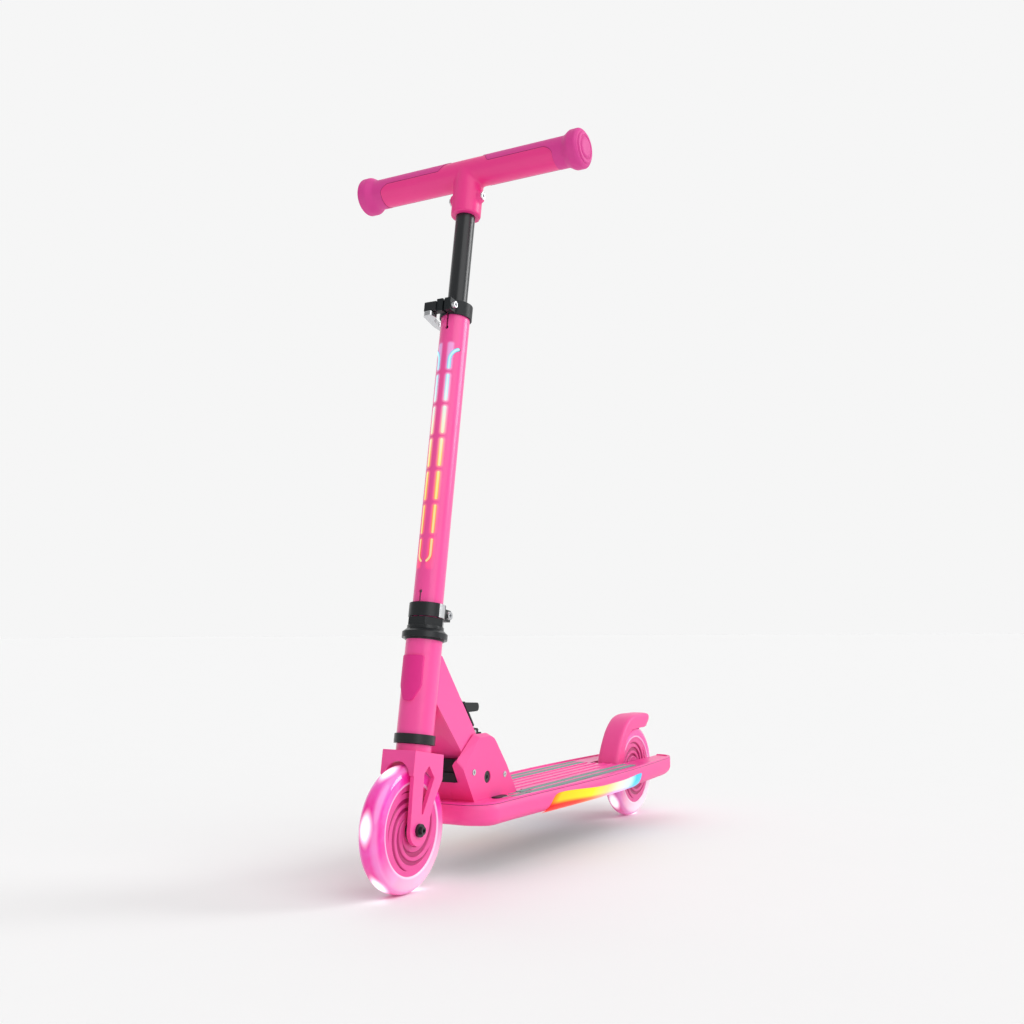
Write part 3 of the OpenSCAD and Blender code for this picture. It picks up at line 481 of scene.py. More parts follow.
def hub_paint(name):
    """Moulded pink, with painted shade on the floors of the grooves, where |x| is small."""
    paint = Paint(name, Coat_Weight=0.1)
    x, _, _ = paint.split(paint.place())
    sunk = 1.0 - x.math("ABSOLUTE").step(0.0094, 0.0109)
    cloud = paint.noise(30.0)
    face = paint.mix(cloud, (0.80, 0.066, 0.32), (0.86, 0.085, 0.37))
    # painted shade: the groove floors are darkened as if in shadow
    paint.set(**{"Base Color": paint.mix(sunk * 0.9, face, (0.42, 0.012, 0.14)),
                 "Roughness": 0.34 + cloud * 0.1})
    paint.bump(paint.noise(1300.0), 0.012)
    return paint


hub_finish = hub_paint("hub_plastic")
for end, centre in (("front", front_axle), ("rear", rear_axle)):
    coat_with(swirled_hub(f"{end}_swirled_hub", centre, f"{end}_wheel", f"{end}_hub"), hub_finish)


# %% [markdown]
# ## Light windows on the column
# Seven slots on each side of the column's front let the lamp strips shine out. The top pair curls apart and
# the bottom pair curls together. Each window is a thin patch laid on the tube: its middle line is a path in
# arc length and height, and the patch swells a little like a moulded lens. The UV map keeps the place
# across the window, so that the core can be white and the edge coloured.

# %% Lay the windows on the tube
tube_r = 16.0
window_w = 3.9
window_angle = 25.0
window_pitch = 36.8
window_middle = 388.4
window_reach = 13.6


def window_line(index, count=7, samples=40):
    """Middle line (arc length, height) of a window: straight, or straight then bent round an arc."""
    if 0 < index < count - 1:
        line = np.array([[0, -window_reach], [0, window_reach]])
    elif index == 0:
        line = np.vstack([[[0, -window_reach]], fillet(14, -5, 14, 180, 112, samples)])
    else:
        line = np.vstack([[[0, window_reach]], fillet(-9, -1, 9, 0, -48, samples)])
    for end, inner in ((0, 1), (-1, -2)):
        way = line[end] - line[inner]
        line[end] = line[end] + way / np.linalg.norm(way) * window_w / 2
    return line


def window_patch(index, side):
    """Points across the line at half widths of w/2 sqrt(1 - e^2) near both ends, raised by a small crown."""
    line = window_line(index)
    length = np.concatenate([[0], np.cumsum(np.linalg.norm(np.diff(line, axis=0), axis=1))])
    even = np.linspace(0, length[-1], 48)
    line = np.stack([np.interp(even, length, line[:, k]) for k in (0, 1)], -1)
    along = np.gradient(line, axis=0)
    along /= np.linalg.norm(along, axis=1)[:, None]
    across = np.stack([along[:, 1], -along[:, 0]], -1)
    half = window_w / 2
    near_end = np.clip(1 - np.minimum(even, even[-1] - even) / half, 0, 1)
    width = half * np.sqrt(np.clip(1 - near_end ** 2, 0.02, 1))
    v = np.linspace(-1, 1, 9)
    flat = line[:, None, :] + across[:, None, :] * (width[:, None] * v)[..., None]
    angle = np.radians(window_angle) * side + side * flat[..., 0] / tube_r
    raised = tube_r + 0.12 + 0.22 * (1 - v[None, :] ** 2) * (width / half)[:, None]
    x, f = raised * np.sin(angle), -raised * np.cos(angle)
    points = on_column(x, f, window_middle + window_pitch * (3 - index) + flat[..., 1])
    uv = np.stack([np.broadcast_to((even / even[-1])[:, None], angle.shape),
                   0.5 + 0.5 * v[None, :] * (width / half)[:, None]], -1)
    return points.reshape(-1, 3), uv.reshape(-1, 2)


patches, maps, squares = [], [], []
for index in range(7):
    for side in (-1, 1):
        points, uv = window_patch(index, side)
        faces = grid_faces(48, 9) + sum(len(p) for p in patches)
        squares.append(faces if side > 0 else faces[:, ::-1])
        patches.append(points)
        maps.append(uv)
column_lights = new_piece("column_light_windows", np.vstack(patches), squares, "column", uv=np.vstack(maps),
                          replaced=["column_lenses"], slot="light_lens")

# %% Light the windows
def height_on_column(paint):
    """0 at the lowest window's middle and 1 at the highest window's, from the height in the world."""
    z_low = on_column(0, 0, window_middle - 3 * window_pitch)[2] * MM
    z_high = on_column(0, 0, window_middle + 3 * window_pitch)[2] * MM
    _, _, z = paint.split(paint.place())
    return (z - z_low) / (z_high - z_low)


def column_hue(paint, height):
    """Red-orange at the foot, through amber and cream, to cyan at the top."""
    return paint.ramp(height, [
        (0.0, (1.0, 0.07, 0.01)), (0.10, (1.0, 0.20, 0.01)), (0.30, (1.0, 0.42, 0.01)),
        (0.50, (1.0, 0.66, 0.06)), (0.66, (1.0, 0.86, 0.55)), (0.82, (0.45, 0.90, 1.0)),
        (0.98, (0.06, 0.72, 1.0)),
    ])


glow = Paint("column_glow", Roughness=0.3, Emission_Strength=0.9)
_, v, _ = glow.split(glow.add("ShaderNodeTexCoord", output=2))
edge = (v * 2.0 - 1.0).math("ABSOLUTE")
height = height_on_column(glow)
core = glow.ramp(height, [(0.0, (1.0, 0.72, 0.40)), (0.15, (1.0, 0.82, 0.35)), (0.35, (1.0, 0.88, 0.30)),
                          (0.55, (1.0, 0.95, 0.62)), (0.80, (0.93, 1.0, 1.0)), (1.0, (0.62, 0.97, 1.0))])
shine = glow.mix(1.0 - edge.step(0.30, 0.95), column_hue(glow, height), core)
glow.set(**{"Emission Color": shine, "Base Color": glow.mix(0.97, shine, (0.0, 0.0, 0.0))})
glow.bump(glow.noise(1500.0), 0.01)
coat_with(column_lights, glow)


# %% Let the light spill on to the tube
def tube_paint():
    """The pink paint with a halo: full beside a window and gone 5.2 mm from its middle line."""
    paint = finish("column_paint", **powder_pink, Emission_Strength=0.5)
    x, y, z = paint.split(paint.place())
    foot, axis, rear = column_foot * MM, column_axis, rear_way
    s = (y - foot[1]) * axis[1] + (z - foot[2]) * axis[2]
    f = (y - foot[1]) * rear[1] + (z - foot[2]) * rear[2]
    turn = x.math("ARCTAN2", f * -1.0).math("ABSOLUTE")
    off = (turn - math.radians(window_angle)) * tube_r
    first = window_middle - 3.5 * window_pitch
    step = (s * (1 / MM) - first) * (1 / window_pitch)
    part = step.math("FRACT") - 0.5
    past = (part.math("ABSOLUTE") * window_pitch - window_reach).math("MAXIMUM", 0.0)
    distance = (off * off + past * past) ** 0.5
    inside = step.step(0.0, 0.12) * (1.0 - step.step(6.88, 7.0))
    halo = (1.0 - distance.step(1.6, 5.2)) * inside
    hue = column_hue(paint, height_on_column(paint))
    paint.set(**{"Emission Color": paint.mix(halo * 0.8, (0.0, 0.0, 0.0), hue)})
    return paint


coat_with(nodes["column_tube"], tube_paint())


# %% [markdown]
# ## The deck's rounded skirt
# Under the standing board runs a moulded skirt with a full, rounded lower edge, whose lip laps the board's
# edge by two millimetres. Its plan is the board's outline: it swells from the nose to a waist and narrows
# to the tail. The skin is that outline carried along a short section that drops from the lip, curls inwards
# with a large radius and comes back up inside. A flat pan closes it from below.

# %% Outline of the deck
deck_low, deck_high = corners("deck_board")
nose_half, waist_half, tail_half = 52.0, deck_high[0], 50.5
nose_corner, tail_corner = 32.0, 24.0
nose_straight, tail_straight = deck_low[1] + nose_corner, deck_high[1] - tail_corner
waist_y = 90.0
slot_half, slot_front = 22.5, 200.0
board_bottom = deck_low[2]
skirt_low = corners("deck_skirt")[0][2]
skirt_curl, skirt_lip = 9.0, -0.25


def half_width(y):
    """Nose to waist: half a cosine wave. Waist to tail: a quarter of one."""
    y = np.asarray(y, float)
    front = nose_half + (waist_half - nose_half) * (
        1 - np.cos(np.pi * (y - nose_straight) / (waist_y - nose_straight))) / 2
    back = waist_half - (waist_half - tail_half) * (
        1 - np.cos(np.pi / 2 * (y - waist_y) / (tail_straight - waist_y)))
    return np.where(y < waist_y, front, back)


def one_side():
    """The outline on the +X side from the middle of the nose to the front corner of the wheel slot."""
    front = np.stack([np.linspace(0, nose_half - nose_corner, 6)[:-1], np.full(5, deck_low[1])], -1)
    nose = fillet(nose_half - nose_corner, nose_straight, nose_corner, -90, 0, 20)
    y = np.linspace(nose_straight, tail_straight, 110)[1:-1]
    flank = np.stack([half_width(y), y], -1)
    tail = fillet(tail_half - tail_corner, tail_straight, tail_corner, 0, 88, 16)
    inner = fillet(slot_half + 3.2, deck_high[1] - 3.2, 3.2, 92, 180, 6)
    back = np.stack([np.full(24, slot_half), np.linspace(deck_high[1] - 3.4, slot_front + 0.5, 24)], -1)
    return np.vstack([front, nose, flank, tail, inner, back])


def full_outline():
    half = one_side()
    return np.vstack([half, half[:0:-1] * [-1, 1]])


def pushed_in(outline, amount):
    """Each point moves inwards along the outline's normal by its amount."""
    along = np.roll(outline, -1, 0) - np.roll(outline, 1, 0)
    along /= np.linalg.norm(along, axis=1)[:, None]
    inward = np.stack([-along[:, 1], along[:, 0]], -1)
    return outline[:, None, :] + inward[:, None, :] * np.asarray(amount)[..., None]


# %% Draw the skirt
def skirt_skin():
    """Section: (inset, z) down the outside, round the lower edge, and back up inside a 2.6 mm wall."""
    outline = full_outline()
    y = outline[:, 1]
    in_slot = (np.abs(outline[:, 0]) < slot_half + 0.8) & (y > slot_front - 1)
    lift = 1.0 * smoothstep(deck_low[1] + 26, deck_low[1], y) + 5.0 * smoothstep(296, deck_high[1], y)
    curl = np.where(in_slot, 1.0, skirt_curl)
    a = np.radians(np.linspace(0, 90, 9))
    low = skirt_low + lift
    high = np.full_like(low, board_bottom - 0.05)
    lip = np.where(in_slot, 0.4, skirt_lip)
    outside = [(lip + 0.5, high), (lip + 0.5, high + 2.3), (lip, high + 2.0), (lip, high - 5)]
    for angle in a:
        outside.append((lip + curl * (1 - np.cos(angle)), low + curl * (1 - np.sin(angle))))
    inside = [(0.4 + curl + 1.5, low + 0.2), (0.4 + curl + 1.5, low + 2.2)]
    for angle in a[::-1]:
        inside.append((3.0 + (curl - 1) * (1 - np.cos(angle)), low + 2.4 + (curl - 1) * (1 - np.sin(angle))))
    inside.append((3.0 + 0 * low, high))
    inset = np.stack([pair[0] for pair in outside + inside], -1)
    z = np.stack([pair[1] for pair in outside + inside], -1)
    return np.concatenate([pushed_in(outline, inset), z[..., None]], -1)


skirt = ring_skin("deck_skirt_moulding", skirt_skin(), "deck", replaced=["deck_skirt"], slot="pink_plastic")
coat_with(skirt, pink_plastic)


def pan_skin():
    """The pan closes the skirt from below, between its curled edges and ahead of the wheel slot."""
    y = np.linspace(deck_low[1] + 14, slot_front - 12, 60)
    x = half_width(np.maximum(y, nose_straight)) - 12
    x = np.minimum(x, nose_half - nose_corner - 4 + 26 * smoothstep(deck_low[1] + 2, deck_low[1] + 40, y))
    bottom = corners("belly_pan")[0][2] + 0.6
    rows = [np.stack([x * side, y, np.full_like(y, bottom + up)], -1)
            for side, up in ((-1, 0), (1, 0), (1, 1.8), (-1, 1.8))]
    return np.stack(rows, 1)


pan = capped_skin("belly_pan_sheet", pan_skin(), "deck", replaced=["belly_pan"], slot="black_plastic",
                  smooth=False)
coat_with(pan, black_plastic)


# %% [markdown]
# ## Light strips along the deck
# A clear moulding is let into each side of the skirt and wraps round its lower edge. Its colours run from
# red and yellow at the front through white to cyan at the rear, warm below and pale above. The patch
# follows the same outline and the same curled section as the skirt, a little proud of it; its two ends
# slant.

# %% Lay the light strips
strip_rows, strip_columns = 120, 22


def strip_patch(side, proud=0.35, curl=skirt_curl):
    """v goes down the section: upright, then round the curled edge; u goes along between the slanted ends."""
    v = np.linspace(0, 1, strip_columns)[None, :]
    u = np.linspace(0, 1, strip_rows)[:, None]
    front_end = -54 - 27 * v ** 1.2
    rear_end = 193 - 20 * v
    rounding = 5.0 * (np.abs(2 * v - 1) ** 6)
    y = (front_end + rounding) + (rear_end - front_end - 2 * rounding) * u
    upper = 73.0 - 5.2 * smoothstep(-40, 75, y) + 2.2 * smoothstep(120, 190, y)
    upright = upper - (skirt_low + curl)
    arc_length = curl * np.pi / 2 * 0.93
    down = v * (upright + arc_length)
    angle = np.clip(down - upright, 0, None) / curl
    z = np.where(down < upright, upper - down, skirt_low + curl - curl * np.sin(angle))
    inset = skirt_lip + curl * (1 - np.cos(angle))
    swell = proud * (1 - (2 * v - 1) ** 4) * np.clip(np.minimum(u, 1 - u) * 24, 0, 1)
    x = half_width(y) - inset + swell * np.cos(angle)
    z = z - swell * np.sin(angle) - 1.6 * smoothstep(0.2, 1, v)
    points = np.stack([side * x, y, z], -1)
    uv = np.stack([np.broadcast_to(u, y.shape), np.broadcast_to(v, y.shape)], -1)
    return points.reshape(-1, 3), uv.reshape(-1, 2)


strip_faces = grid_faces(strip_rows, strip_columns)
left_strip, strip_uv = strip_patch(1)
right_strip, _ = strip_patch(-1)
side_lights = new_piece("side_light_strips", np.vstack([left_strip, right_strip]),
                        [strip_faces[:, ::-1], strip_faces + len(left_strip)], "deck",
                        uv=np.vstack([strip_uv, strip_uv]), replaced=["side_lights"], slot="light_lens")

# %% Light the strips
side_glow = Paint("side_glow", Roughness=0.22, Emission_Strength=0.88, Specular_IOR_Level=0.2)
u, v, _ = side_glow.split(side_glow.add("ShaderNodeTexCoord", output=2))
upper = side_glow.ramp(u, [(0.0, (1.0, 0.22, 0.0)), (0.06, (1.0, 0.74, 0.0)), (0.38, (1.0, 0.98, 0.0)),
                      (0.55, (1.0, 0.88, 0.30)), (0.68, (1.0, 0.97, 0.80)), (0.84, (0.80, 1.0, 1.0)),
                      (0.92, (0.05, 0.75, 1.0)), (1.0, (0.10, 0.62, 1.0))])
lower = side_glow.ramp(u, [(0.0, (1.0, 0.006, 0.004)), (0.28, (1.0, 0.035, 0.004)), (0.42, (1.0, 0.20, 0.03)),
                      (0.54, (1.0, 0.42, 0.30)), (0.66, (1.0, 0.46, 0.88)), (0.84, (0.70, 0.60, 1.0)),
                      (0.93, (0.10, 0.52, 1.0)), (1.0, (0.12, 0.40, 0.95))])
crease = 0.42 + u * 0.22
shine = side_glow.mix((v - crease).step(-0.10, 0.12), upper, lower)
side_glow.set(**{"Emission Color": shine, "Base Color": side_glow.mix(0.92, shine, (0.0, 0.0, 0.0))})
side_glow.bump(side_glow.noise(1500.0), 0.01)
coat_with(side_lights, side_glow)


# %% [markdown]
# ## The rear fender, which is the brake
# The fender is one curved moulding over the rear tyre, trodden on to brake. Its outer line climbs in front
# of the tyre, runs level over it and ends in a blunt tail; across, it is a flat crown with full, rounded
# shoulders. The shell is a loft: for every step along the outer line an arched section, whose walls reach
# down to the opening beside the hub. The Solidify modifier gives it a wall.

# %% Loft the fender
def even_line(points, count, rounds=4):
    """A control polygon cut down by Chaikin's rule (1/4 and 3/4 of each side), then walked in even steps."""
    for _ in range(rounds):
        points = np.vstack([points[:1], np.stack([points[:-1] * 0.75 + points[1:] * 0.25,
                                                  points[:-1] * 0.25 + points[1:] * 0.75], 1).reshape(-1, 2),
                            points[-1:]])
    length = np.concatenate([[0], np.cumsum(np.linalg.norm(np.diff(points, axis=0), axis=1))])
    return np.stack([np.interp(np.linspace(0, length[-1], count), length, points[:, k]) for k in (0, 1)], -1)


def fender_shell(count=96, half=15.4, crown_share=0.6, full_drop=10.5):
    """Crown: x = half sin(q pi/2)^0.9 and sink = drop (1 - sqrt(1 - q^3)); walls: straight to the opening."""
    crown = even_line(np.array([[-70.8, 10.8], [-69.8, 18.0], [-57.2, 42.0], [-38.8, 63.8], [-13.0, 77.4],
                                [30.0, 76.2], [45.5, 76.2], [49.5, 66.0], [44.0, 57.6]]), count)
    outward_way = crown / np.linalg.norm(crown, axis=1)[:, None]
    a = np.radians(np.linspace(13, 75, 60))
    arch = np.stack([-47.5 * np.cos(a) ** 0.83, 58 * np.sin(a) ** 0.83], -1)
    inner = np.vstack([arch, [[10, 57.0], [42.0, 57.3]]])
    inner = even_line(inner, count, 0)
    t = np.linspace(0, 1, count)
    blunt = 1 - 0.30 * smoothstep(0.82, 1.0, t)[:, None] ** 2
    v = np.linspace(-1, 1, 65)[None, :]
    share = np.clip(np.abs(v) / crown_share, 0, 1)
    x = half * blunt * np.sign(v) * np.sin(share * np.pi / 2) ** 0.9
    drop = full_drop * (1 - 0.92 * smoothstep(0.80, 0.97, t))[:, None]
    sink = drop * (1 - np.sqrt(np.clip(1 - share ** 3.0, 0, 1)))
    across = crown[:, None, :] - outward_way[:, None, :] * sink[..., None]
    rise = (np.clip(np.abs(v) - crown_share, 0, 1) / (1 - crown_share))[..., None]
    wall_top = (crown - outward_way * drop)[:, None, :]
    walls = wall_top + (inner[:, None, :] - wall_top) * rise
    yz = np.where(np.abs(v)[..., None] <= crown_share, across, walls)
    return np.stack([np.broadcast_to(x, yz.shape[:2]), yz[..., 0], yz[..., 1]], -1)


shell = fender_shell() + rear_axle
rows, columns, _ = shell.shape
fender = new_piece("rear_fender_shell", shell.reshape(-1, 3), grid_faces(rows, columns)[:, ::-1], "brake",
                   replaced=["rear_fender"], slot="pink_plastic")
fender_wall = 1.9
wall = fender.modifiers.new("wall", "SOLIDIFY")
wall.thickness = fender_wall * MM
wall.offset = -1
coat_with(fender, pink_plastic)


# %% [markdown]
# ## The T bar and its soft grips
# The bar and its socket are one casting with soft fillets where they meet. The bar, the socket and the boss
# of the cross bolt are joined and then remeshed in small voxels, which welds them into one skin, and a
# smoothing pass rounds the inner corners. Over each end goes a soft grip: a turned skin whose radius dips
# below the bar inside a panel on the lower front, so that the harder bar shows there, and which flares into
# a bell at the end.

# %% Cast the T bar
bar_s = 729.4
bar_half = 134.0
bar_r = 16.95
grip_r = 17.45


def plain_tube(start, end, radii, steps=48):
    """Rings of a tube between two points; radii is one radius for each of its even stations."""
    start, end = np.asarray(start, float), np.asarray(end, float)
    axis = (end - start) / np.linalg.norm(end - start)
    side = np.cross(axis, [0.3, 0.9, 0.1])
    side /= np.linalg.norm(side)
    up = np.cross(axis, side)
    a = np.linspace(0, 2 * np.pi, steps, endpoint=False)
    ring = np.cos(a)[:, None] * side + np.sin(a)[:, None] * up
    t = np.linspace(0, 1, len(radii))[:, None, None]
    return start + (end - start) * t + ring[None] * np.asarray(radii, float)[:, None, None]


def melted(name, parts, body, voxel, passes, **more):
    """Tubes joined, remeshed in voxels, smoothed, and written back as one plain mesh."""
    work = bmesh.new()
    for k, grid in enumerate(parts):
        part = capped_skin(f"{name}_{k}", grid, body)
        work.from_mesh(part.data)
        bpy.data.objects.remove(part)
    mesh = bpy.data.meshes.new(name)
    work.to_mesh(mesh)
    work.free()
    rough = bpy.data.objects.new(name + "_rough", mesh)
    bpy.context.scene.collection.objects.link(rough)
    remesh = rough.modifiers.new("weld", "REMESH")
    remesh.mode = "VOXEL"
    remesh.voxel_size = voxel * MM
    smooth = rough.modifiers.new("soften", "SMOOTH")
    smooth.factor = 0.5
    smooth.iterations = passes
    evaluated = rough.evaluated_get(bpy.context.evaluated_depsgraph_get())
    points = np.empty(len(evaluated.data.vertices) * 3)
    evaluated.data.vertices.foreach_get("co", points)
    faces = [np.array([list(face.vertices) for face in evaluated.data.polygons if len(face.vertices) == n])
             for n in (3, 4)]
    points = points.reshape(-1, 3) / MM
    bpy.data.objects.remove(rough)
    return new_piece(name, points, [group for group in faces if len(group)], body, **more)


bar_end = bar_half - 4
socket_low, socket_r = 674.6, 16.8
tee_bolt_s = 697.4
tee = melted("tee_casting", [
    plain_tube(on_column(-bar_end, 0, bar_s), on_column(bar_end, 0, bar_s), [bar_r] * 3, 64),
    plain_tube(on_column(0, 0, socket_low), on_column(0, 0, bar_s), [socket_r + 0.3] * 3, 64),
    plain_tube(on_column(-19.6, 0, tee_bolt_s), on_column(19.6, 0, tee_bolt_s), [7.4] * 3, 40),
], "handlebar", 1.25, 6, replaced=["tee_bar"], slot="magenta_plastic")
coat_with(tee, deep_plastic)


# %% Turn the grips
def grip_paint():
    """Soft magenta, with painted shade where the skin dips below the grip's own radius: the panel's outline.
    """
    paint = Paint("grip_soft_rubber")
    _, y, z = paint.split(paint.place())
    bar = on_column(0, 0, bar_s) * MM
    y, z = y - bar[1], z - bar[2]
    radius = (y * y + z * z) ** 0.5
    dip = 1.0 - radius.step((grip_r - 0.3) * MM, (grip_r - 0.03) * MM)
    cloud = paint.noise(14.0, 3.0)
    rubber = paint.mix(cloud, (0.68, 0.036, 0.28), (0.76, 0.046, 0.32))
    # painted shade: the skin is darkened where it dips, which shows along the panel's sloping edge
    paint.set(**{"Base Color": paint.mix(dip * 0.92, rubber, (0.16, 0.003, 0.05)),
                 "Roughness": 0.48 + cloud * 0.14})
    paint.bump(paint.noise(2200.0), 0.03)
    return paint


grip_finish = grip_paint()


def grip_skin(side):
    """r(x, a): the grip's radius, less 1.5 in the panel, plus a bell of 4.6 at the end, less a round rim."""
    x = np.concatenate([np.linspace(20.5, bar_half - 10, 190),
                        np.linspace(bar_half - 9.5, bar_half + 12.5, 46)])
    a = np.linspace(0, 2 * np.pi, 180, endpoint=False)
    gx, ga = np.meshgrid(x, a, indexing="ij")
    bell = 4.6 * smoothstep(bar_half - 9, bar_half + 2, gx)
    rim = 3.2 * np.clip((gx - (bar_half + 8.5)) / 4, 0, 1) ** 2
    start = 2.0 * np.clip((22.5 - gx) / 2, 0, 1) ** 2
    front = (ga + np.pi) % (2 * np.pi) - np.pi
    upper_edge = 0.06 + 0.90 * smoothstep(34, 23, gx)
    lower_edge = -2.3
    panel_end = 114.0 - 9.0 * np.clip((front + 0.5) / 0.56, 0, 1) ** 2.2
    inside = smoothstep(upper_edge + 0.035, upper_edge - 0.035, front)
    inside *= smoothstep(lower_edge - 0.035, lower_edge + 0.035, front)
    inside *= smoothstep(panel_end + 0.6, panel_end - 0.6, gx)
    outline = inside * (1 - inside) * 4
    radius = grip_r + bell - rim - start - 1.5 * inside - 0.5 * outline
    f, s = -radius * np.cos(ga), radius * np.sin(ga)
    return on_column(gx * side, f, bar_s + s)


for side, name in ((1, "left"), (-1, "right")):
    grip = capped_skin(f"{name}_grip", grip_skin(side), "handlebar", replaced=["grips"], slot="grip_rubber")
    coat_with(grip, grip_finish)
    a = np.linspace(0, 2 * np.pi, 96, endpoint=False)
    cap_profile = [(134, 17.0), (146.2, 17.6), (147.6, 17.2), (148.2, 16.0), (148.2, 13.6), (147.5, 13.2),
                   (147.5, 12.0), (148.4, 11.5), (148.9, 8.0), (149.0, 3.0)]
    cap = np.stack([on_column(side * x, -r * np.cos(a), bar_s + r * np.sin(a)) for x, r in cap_profile])
    cap = capped_skin(f"{name}_end_cap", cap, "handlebar", replaced=["end_caps"], slot="magenta_plastic")
    coat_with(cap, grip_rubber)


# %% [markdown]
# ## The standing surface
# The board is moulded with ribs and a raised rim, with soft grey-green grips let in between them. The edges
# of the board are rounded so that the rim catches the light, and swept lines run from the grips towards the
# hinge.

# %% Paint the board
def board_paint_with_gap_shadow():
    """Moulded pink with a painted shadow line round the side, in the gap where the board meets the skirt's
    lip.
    """
    paint = Paint("board_pink", Coat_Weight=0.15)
    _, _, z = paint.split(paint.place())
    above = (z - board_bottom * MM) * (1 / MM)
    # painted shadow: a dark band from 1.8 to 2.75 mm above the board's bottom, for the gap under its edge
    gap_shadow = above.step(1.8, 2.0) * (1.0 - above.step(2.55, 2.75))
    cloud = paint.noise(14.0, 3.0)
    board_pink = paint.mix(cloud, (0.88, 0.046, 0.32), (0.97, 0.060, 0.38))
    paint.set(**{"Base Color": paint.mix(gap_shadow * 0.9, board_pink, (0.16, 0.004, 0.05)),
                 "Roughness": 0.289 + cloud * 0.102})
    paint.bump(paint.noise(1500.0), 0.012)
    return paint


board_paint = board_paint_with_gap_shadow()

# %% Grips on the board
rib_pitch = 3.2
strip_paint = Paint("ribbed_grip_strip")
x, y, z = strip_paint.split(strip_paint.place())
ribs = (y * (math.tau / (rib_pitch * MM))).math("SINE").step(-0.2, 0.6)
cloud = strip_paint.noise(60.0)
# painted light and shade: each rib is painted lighter and the furrow between ribs darker; the noise adds a
# random tone
grey_green = strip_paint.mix(ribs * 0.35 + cloud * 0.3, (0.16, 0.30, 0.26), (0.29, 0.47, 0.42))
strip_paint.set(**{"Base Color": grey_green, "Roughness": 0.62 + cloud * 0.2})
strip_paint.bump(ribs + strip_paint.noise(900.0) * 0.3, 0.18)
coat_with(softened("deck_grips", 0.5, 2), strip_paint)


def swoosh(start, reach, sway, width, samples=28):
    """A ribbon, nearly pointed in front: x = start + sway (3t^2 - 2t^3), y goes reach millimetres forward."""
    t = np.linspace(0, 1, samples)
    x = start + sway * smoothstep(0, 1, t)
    y = -94.0 - reach * t
    half = width / 2 * np.sqrt(1 - 0.92 * t)
    top, low = deck_high[2] - 1.5 + 0.45, deck_high[2] - 1.5 - 0.6
    loop = [(-1, low), (-1, top - 0.15), (-0.8, top), (0.8, top), (1, top - 0.15), (1, low)]
    return np.stack([np.stack([x + half * k, y, np.full_like(x, z)], -1) for k, z in loop], 1)


count = 0
for side in (-1, 1):
    for start, reach, sway, width in ((43.5, 46, -8.0, 3.4), (38.0, 12, -2.0, 2.4), (48.0, 36, -6.5, 2.2),
                                      (31.3, 22, -2.0, 3.0)):
        count += 1
        ribbon = capped_skin(f"deck_swoosh_{count}", swoosh(start, reach, sway, width) * [side, 1, 1], "deck",
                             slot="grip_tape")
        coat_with(ribbon, strip_paint)


# %% [markdown]
# ## Finish for every CAD part
# What is left are parts whose CAD shape is right: they only need rounded edges and their real finish. Bolts
# and bearings keep the exact CAD mesh.

# %% Rounded parts and exact parts
rounded = {
    "deck_board": (0.7, board_paint), "hinge_covers": (1.6, pink_plastic), "down_tube": (1.8, pink_paint),
    "fork": (1.1, pink_paint), "head_badge": (0.5, badge_plastic), "hinge_block": (0.8, black_plastic),
    "release_lever": (0.9, black_plastic), "clamp_lever": (0.7, plated_steel),
    "clamp_bolt": (0.4, headed_saddle), "top_collar": (0.6, black_plastic),
    "lower_collar": (0.5, eared_collar), "headset_cups": (0.5, black_steel),
    "headset_nuts": (0.6, black_steel), "crown_race": (0.5, pink_paint), "light_button": (0.8, black_plastic),
    "stop_bumper": (0.5, black_plastic), "front_axle": (0.4, black_steel), "rear_axle": (0.4, black_steel),
}
for node, (width, paint) in rounded.items():
    coat_with(softened(node, width), paint)
exact = {
    pink_paint: ["head_tube"],
    black_steel: ["stem_tube", "fold_bolt"],
    black_plastic: ["top_bush", "guide_ring", "battery_door", "front_spacers", "rear_spacers"],
    plated_steel: ["cover_screws", "fender_pin", "lever_pin", "latch_pin", "collar_bolt", "tee_bolt",
                   "brake_pad", "brake_spring", "front_bearings", "rear_bearings", "headset_bearings",
                   "hinge_bracket"],
    dark_steel: ["steerer", "deck_frame"],
    board_green: ["side_leds", "control_board", "column_leds", "front_leds", "rear_leds"],
    cell_wrap: ["battery_pack"],
}
for paint, members in exact.items():
    for node in members:
        coat_with(nodes[node], paint)
print("parts with rounded edges:", len(rounded), "exact parts:", sum(map(len, exact.values())))


# %% [markdown]
# ## Studio
# A pale sheet lies under the scooter and the sky has the same brightness where it is seen, so that the two
# run into one another. The sky is dimmer elsewhere, so that the pink keeps its depth. Three distant soft
# lamps do the rest: a key high on the right, an edge lamp behind on the right, and one overhead. Being
# distant, they light the sheet evenly.

# %% Camera direction
azimuth, elevation, roll = (math.radians(v) for v in (29.301, -5.932, -0.324))
back = np.array([math.sin(azimuth) * math.cos(elevation), -math.cos(azimuth) * math.cos(elevation),
                 math.sin(elevation)])


def turned_to(holder, right, up, back):
    """Turns a camera or lamp, which looks along -back, so that its own x and y run right and up."""
    holder.rotation_euler = Matrix(np.stack([right, up, back], 1).tolist()).to_euler()


# %% Sheet, sky and lamps
def studio_floor(size=60.0):
    mesh = bpy.data.meshes.new("floor")
    corner_points = [(-size, -size, 0), (size, -size, 0), (size, size, 0), (-size, size, 0)]
    mesh.from_pydata(corner_points, [], [(0, 1, 2, 3)])
    floor = bpy.data.objects.new("studio_floor", mesh)
    bpy.context.scene.collection.objects.link(floor)
    coat_with(floor, finish("floor_paper", (0.935, 0.935, 0.935), 0.9, grain=50.0, depth=0.0, spread=0.004,
                            Specular_IOR_Level=0.0))


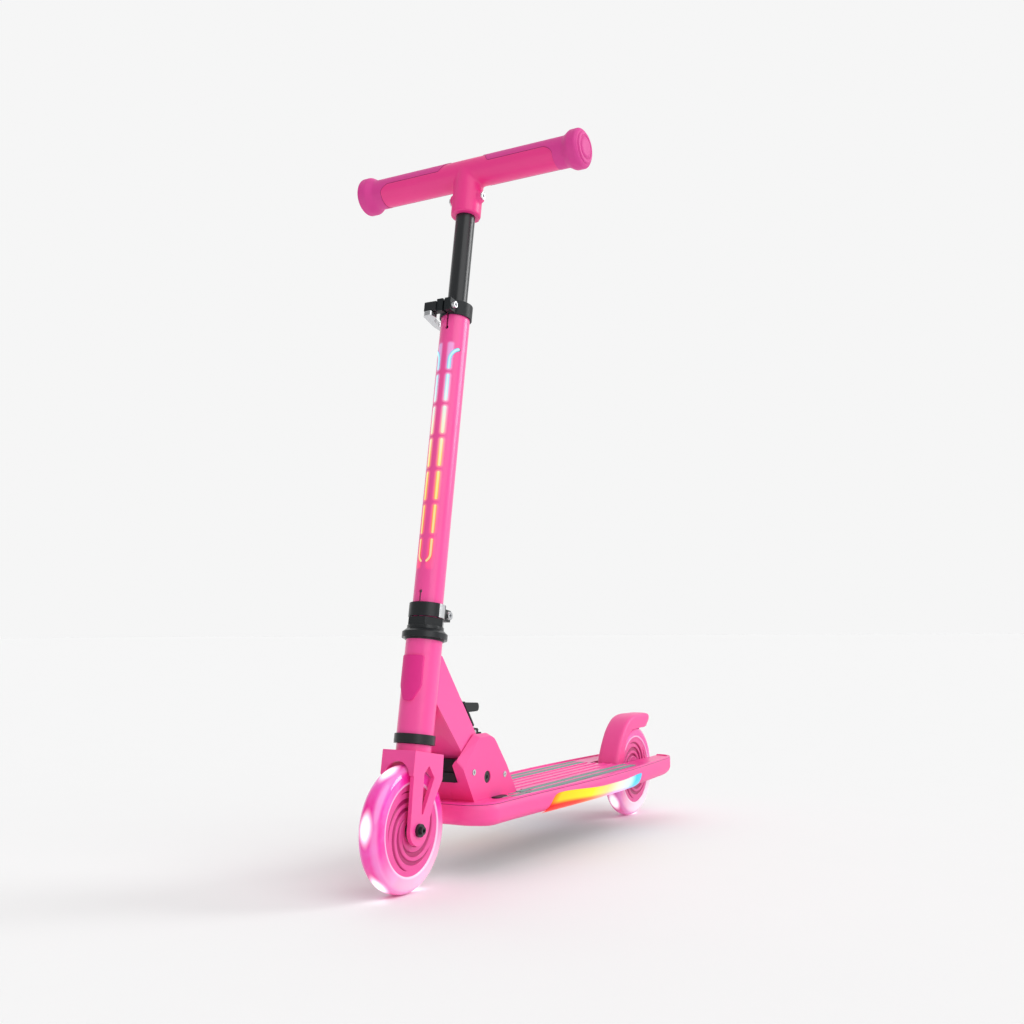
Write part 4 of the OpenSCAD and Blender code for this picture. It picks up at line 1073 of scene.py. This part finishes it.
def studio_sky(seen=0.921, unseen=0.36):
    """Radiance: seen within 35 degrees of the view, unseen from 75 degrees on, smooth between."""
    world = bpy.data.worlds.new("studio_sky")
    bpy.context.scene.world = world
    world.use_nodes = True
    tree = world.node_tree
    way = tree.nodes.new("ShaderNodeTexCoord").outputs["Generated"]
    towards = tree.nodes.new("ShaderNodeVectorMath")
    towards.operation = "DOT_PRODUCT"
    towards.inputs[1].default_value = (-back).tolist()
    tree.links.new(way, towards.inputs[0])
    level = tree.nodes.new("ShaderNodeMapRange")
    level.interpolation_type = "SMOOTHSTEP"
    for key, value in (("From Min", math.cos(math.radians(75.5))), ("From Max", math.cos(math.radians(34.9))),
                       ("To Min", unseen), ("To Max", seen)):
        level.inputs[key].default_value = value
    tree.links.new(towards.outputs["Value"], level.inputs["Value"])
    tree.links.new(level.outputs["Result"], tree.nodes["Background"].inputs["Strength"])
    tree.nodes["Background"].inputs["Color"].default_value = (1, 1, 1, 1)


def lamp(name, way, strength, softness):
    """A distant lamp that shines from a direction; softness is its angular size in degrees."""
    light = bpy.data.lights.new(name, "SUN")
    light.energy, light.angle = strength, math.radians(softness)
    holder = bpy.data.objects.new(name, light)
    bpy.context.scene.collection.objects.link(holder)
    from_way = np.asarray(way, float) / np.linalg.norm(way)
    across = np.cross([0.0, 1.0, 0.001], from_way)
    across /= np.linalg.norm(across)
    turned_to(holder, across, np.cross(from_way, across), from_way)


studio_floor()
studio_sky()
lamp("key", (0.95, -0.45, 0.80), 1.15, 60)
lamp("edge", (0.85, 0.75, 0.45), 1.0, 25)
lamp("top", (-0.1, 0.1, 1.0), 0.55, 110)

# %% Camera
view = bpy.data.cameras.new("camera")
view.lens, view.sensor_width = 40.29, 36.0
view.clip_end = 200
camera = bpy.data.objects.new("camera", view)
bpy.context.scene.collection.objects.link(camera)
right = np.array([math.cos(azimuth), math.sin(azimuth), 0])
up = np.cross(back, right)
tilted_right = math.cos(roll) * right + math.sin(roll) * up
tilted_up = -math.sin(roll) * right + math.cos(roll) * up
camera.location = (0.66363, -1.23406, 0.25643)
turned_to(camera, tilted_right, tilted_up, back)
bpy.context.scene.camera = camera
bpy.context.scene.view_settings.view_transform = "Standard"
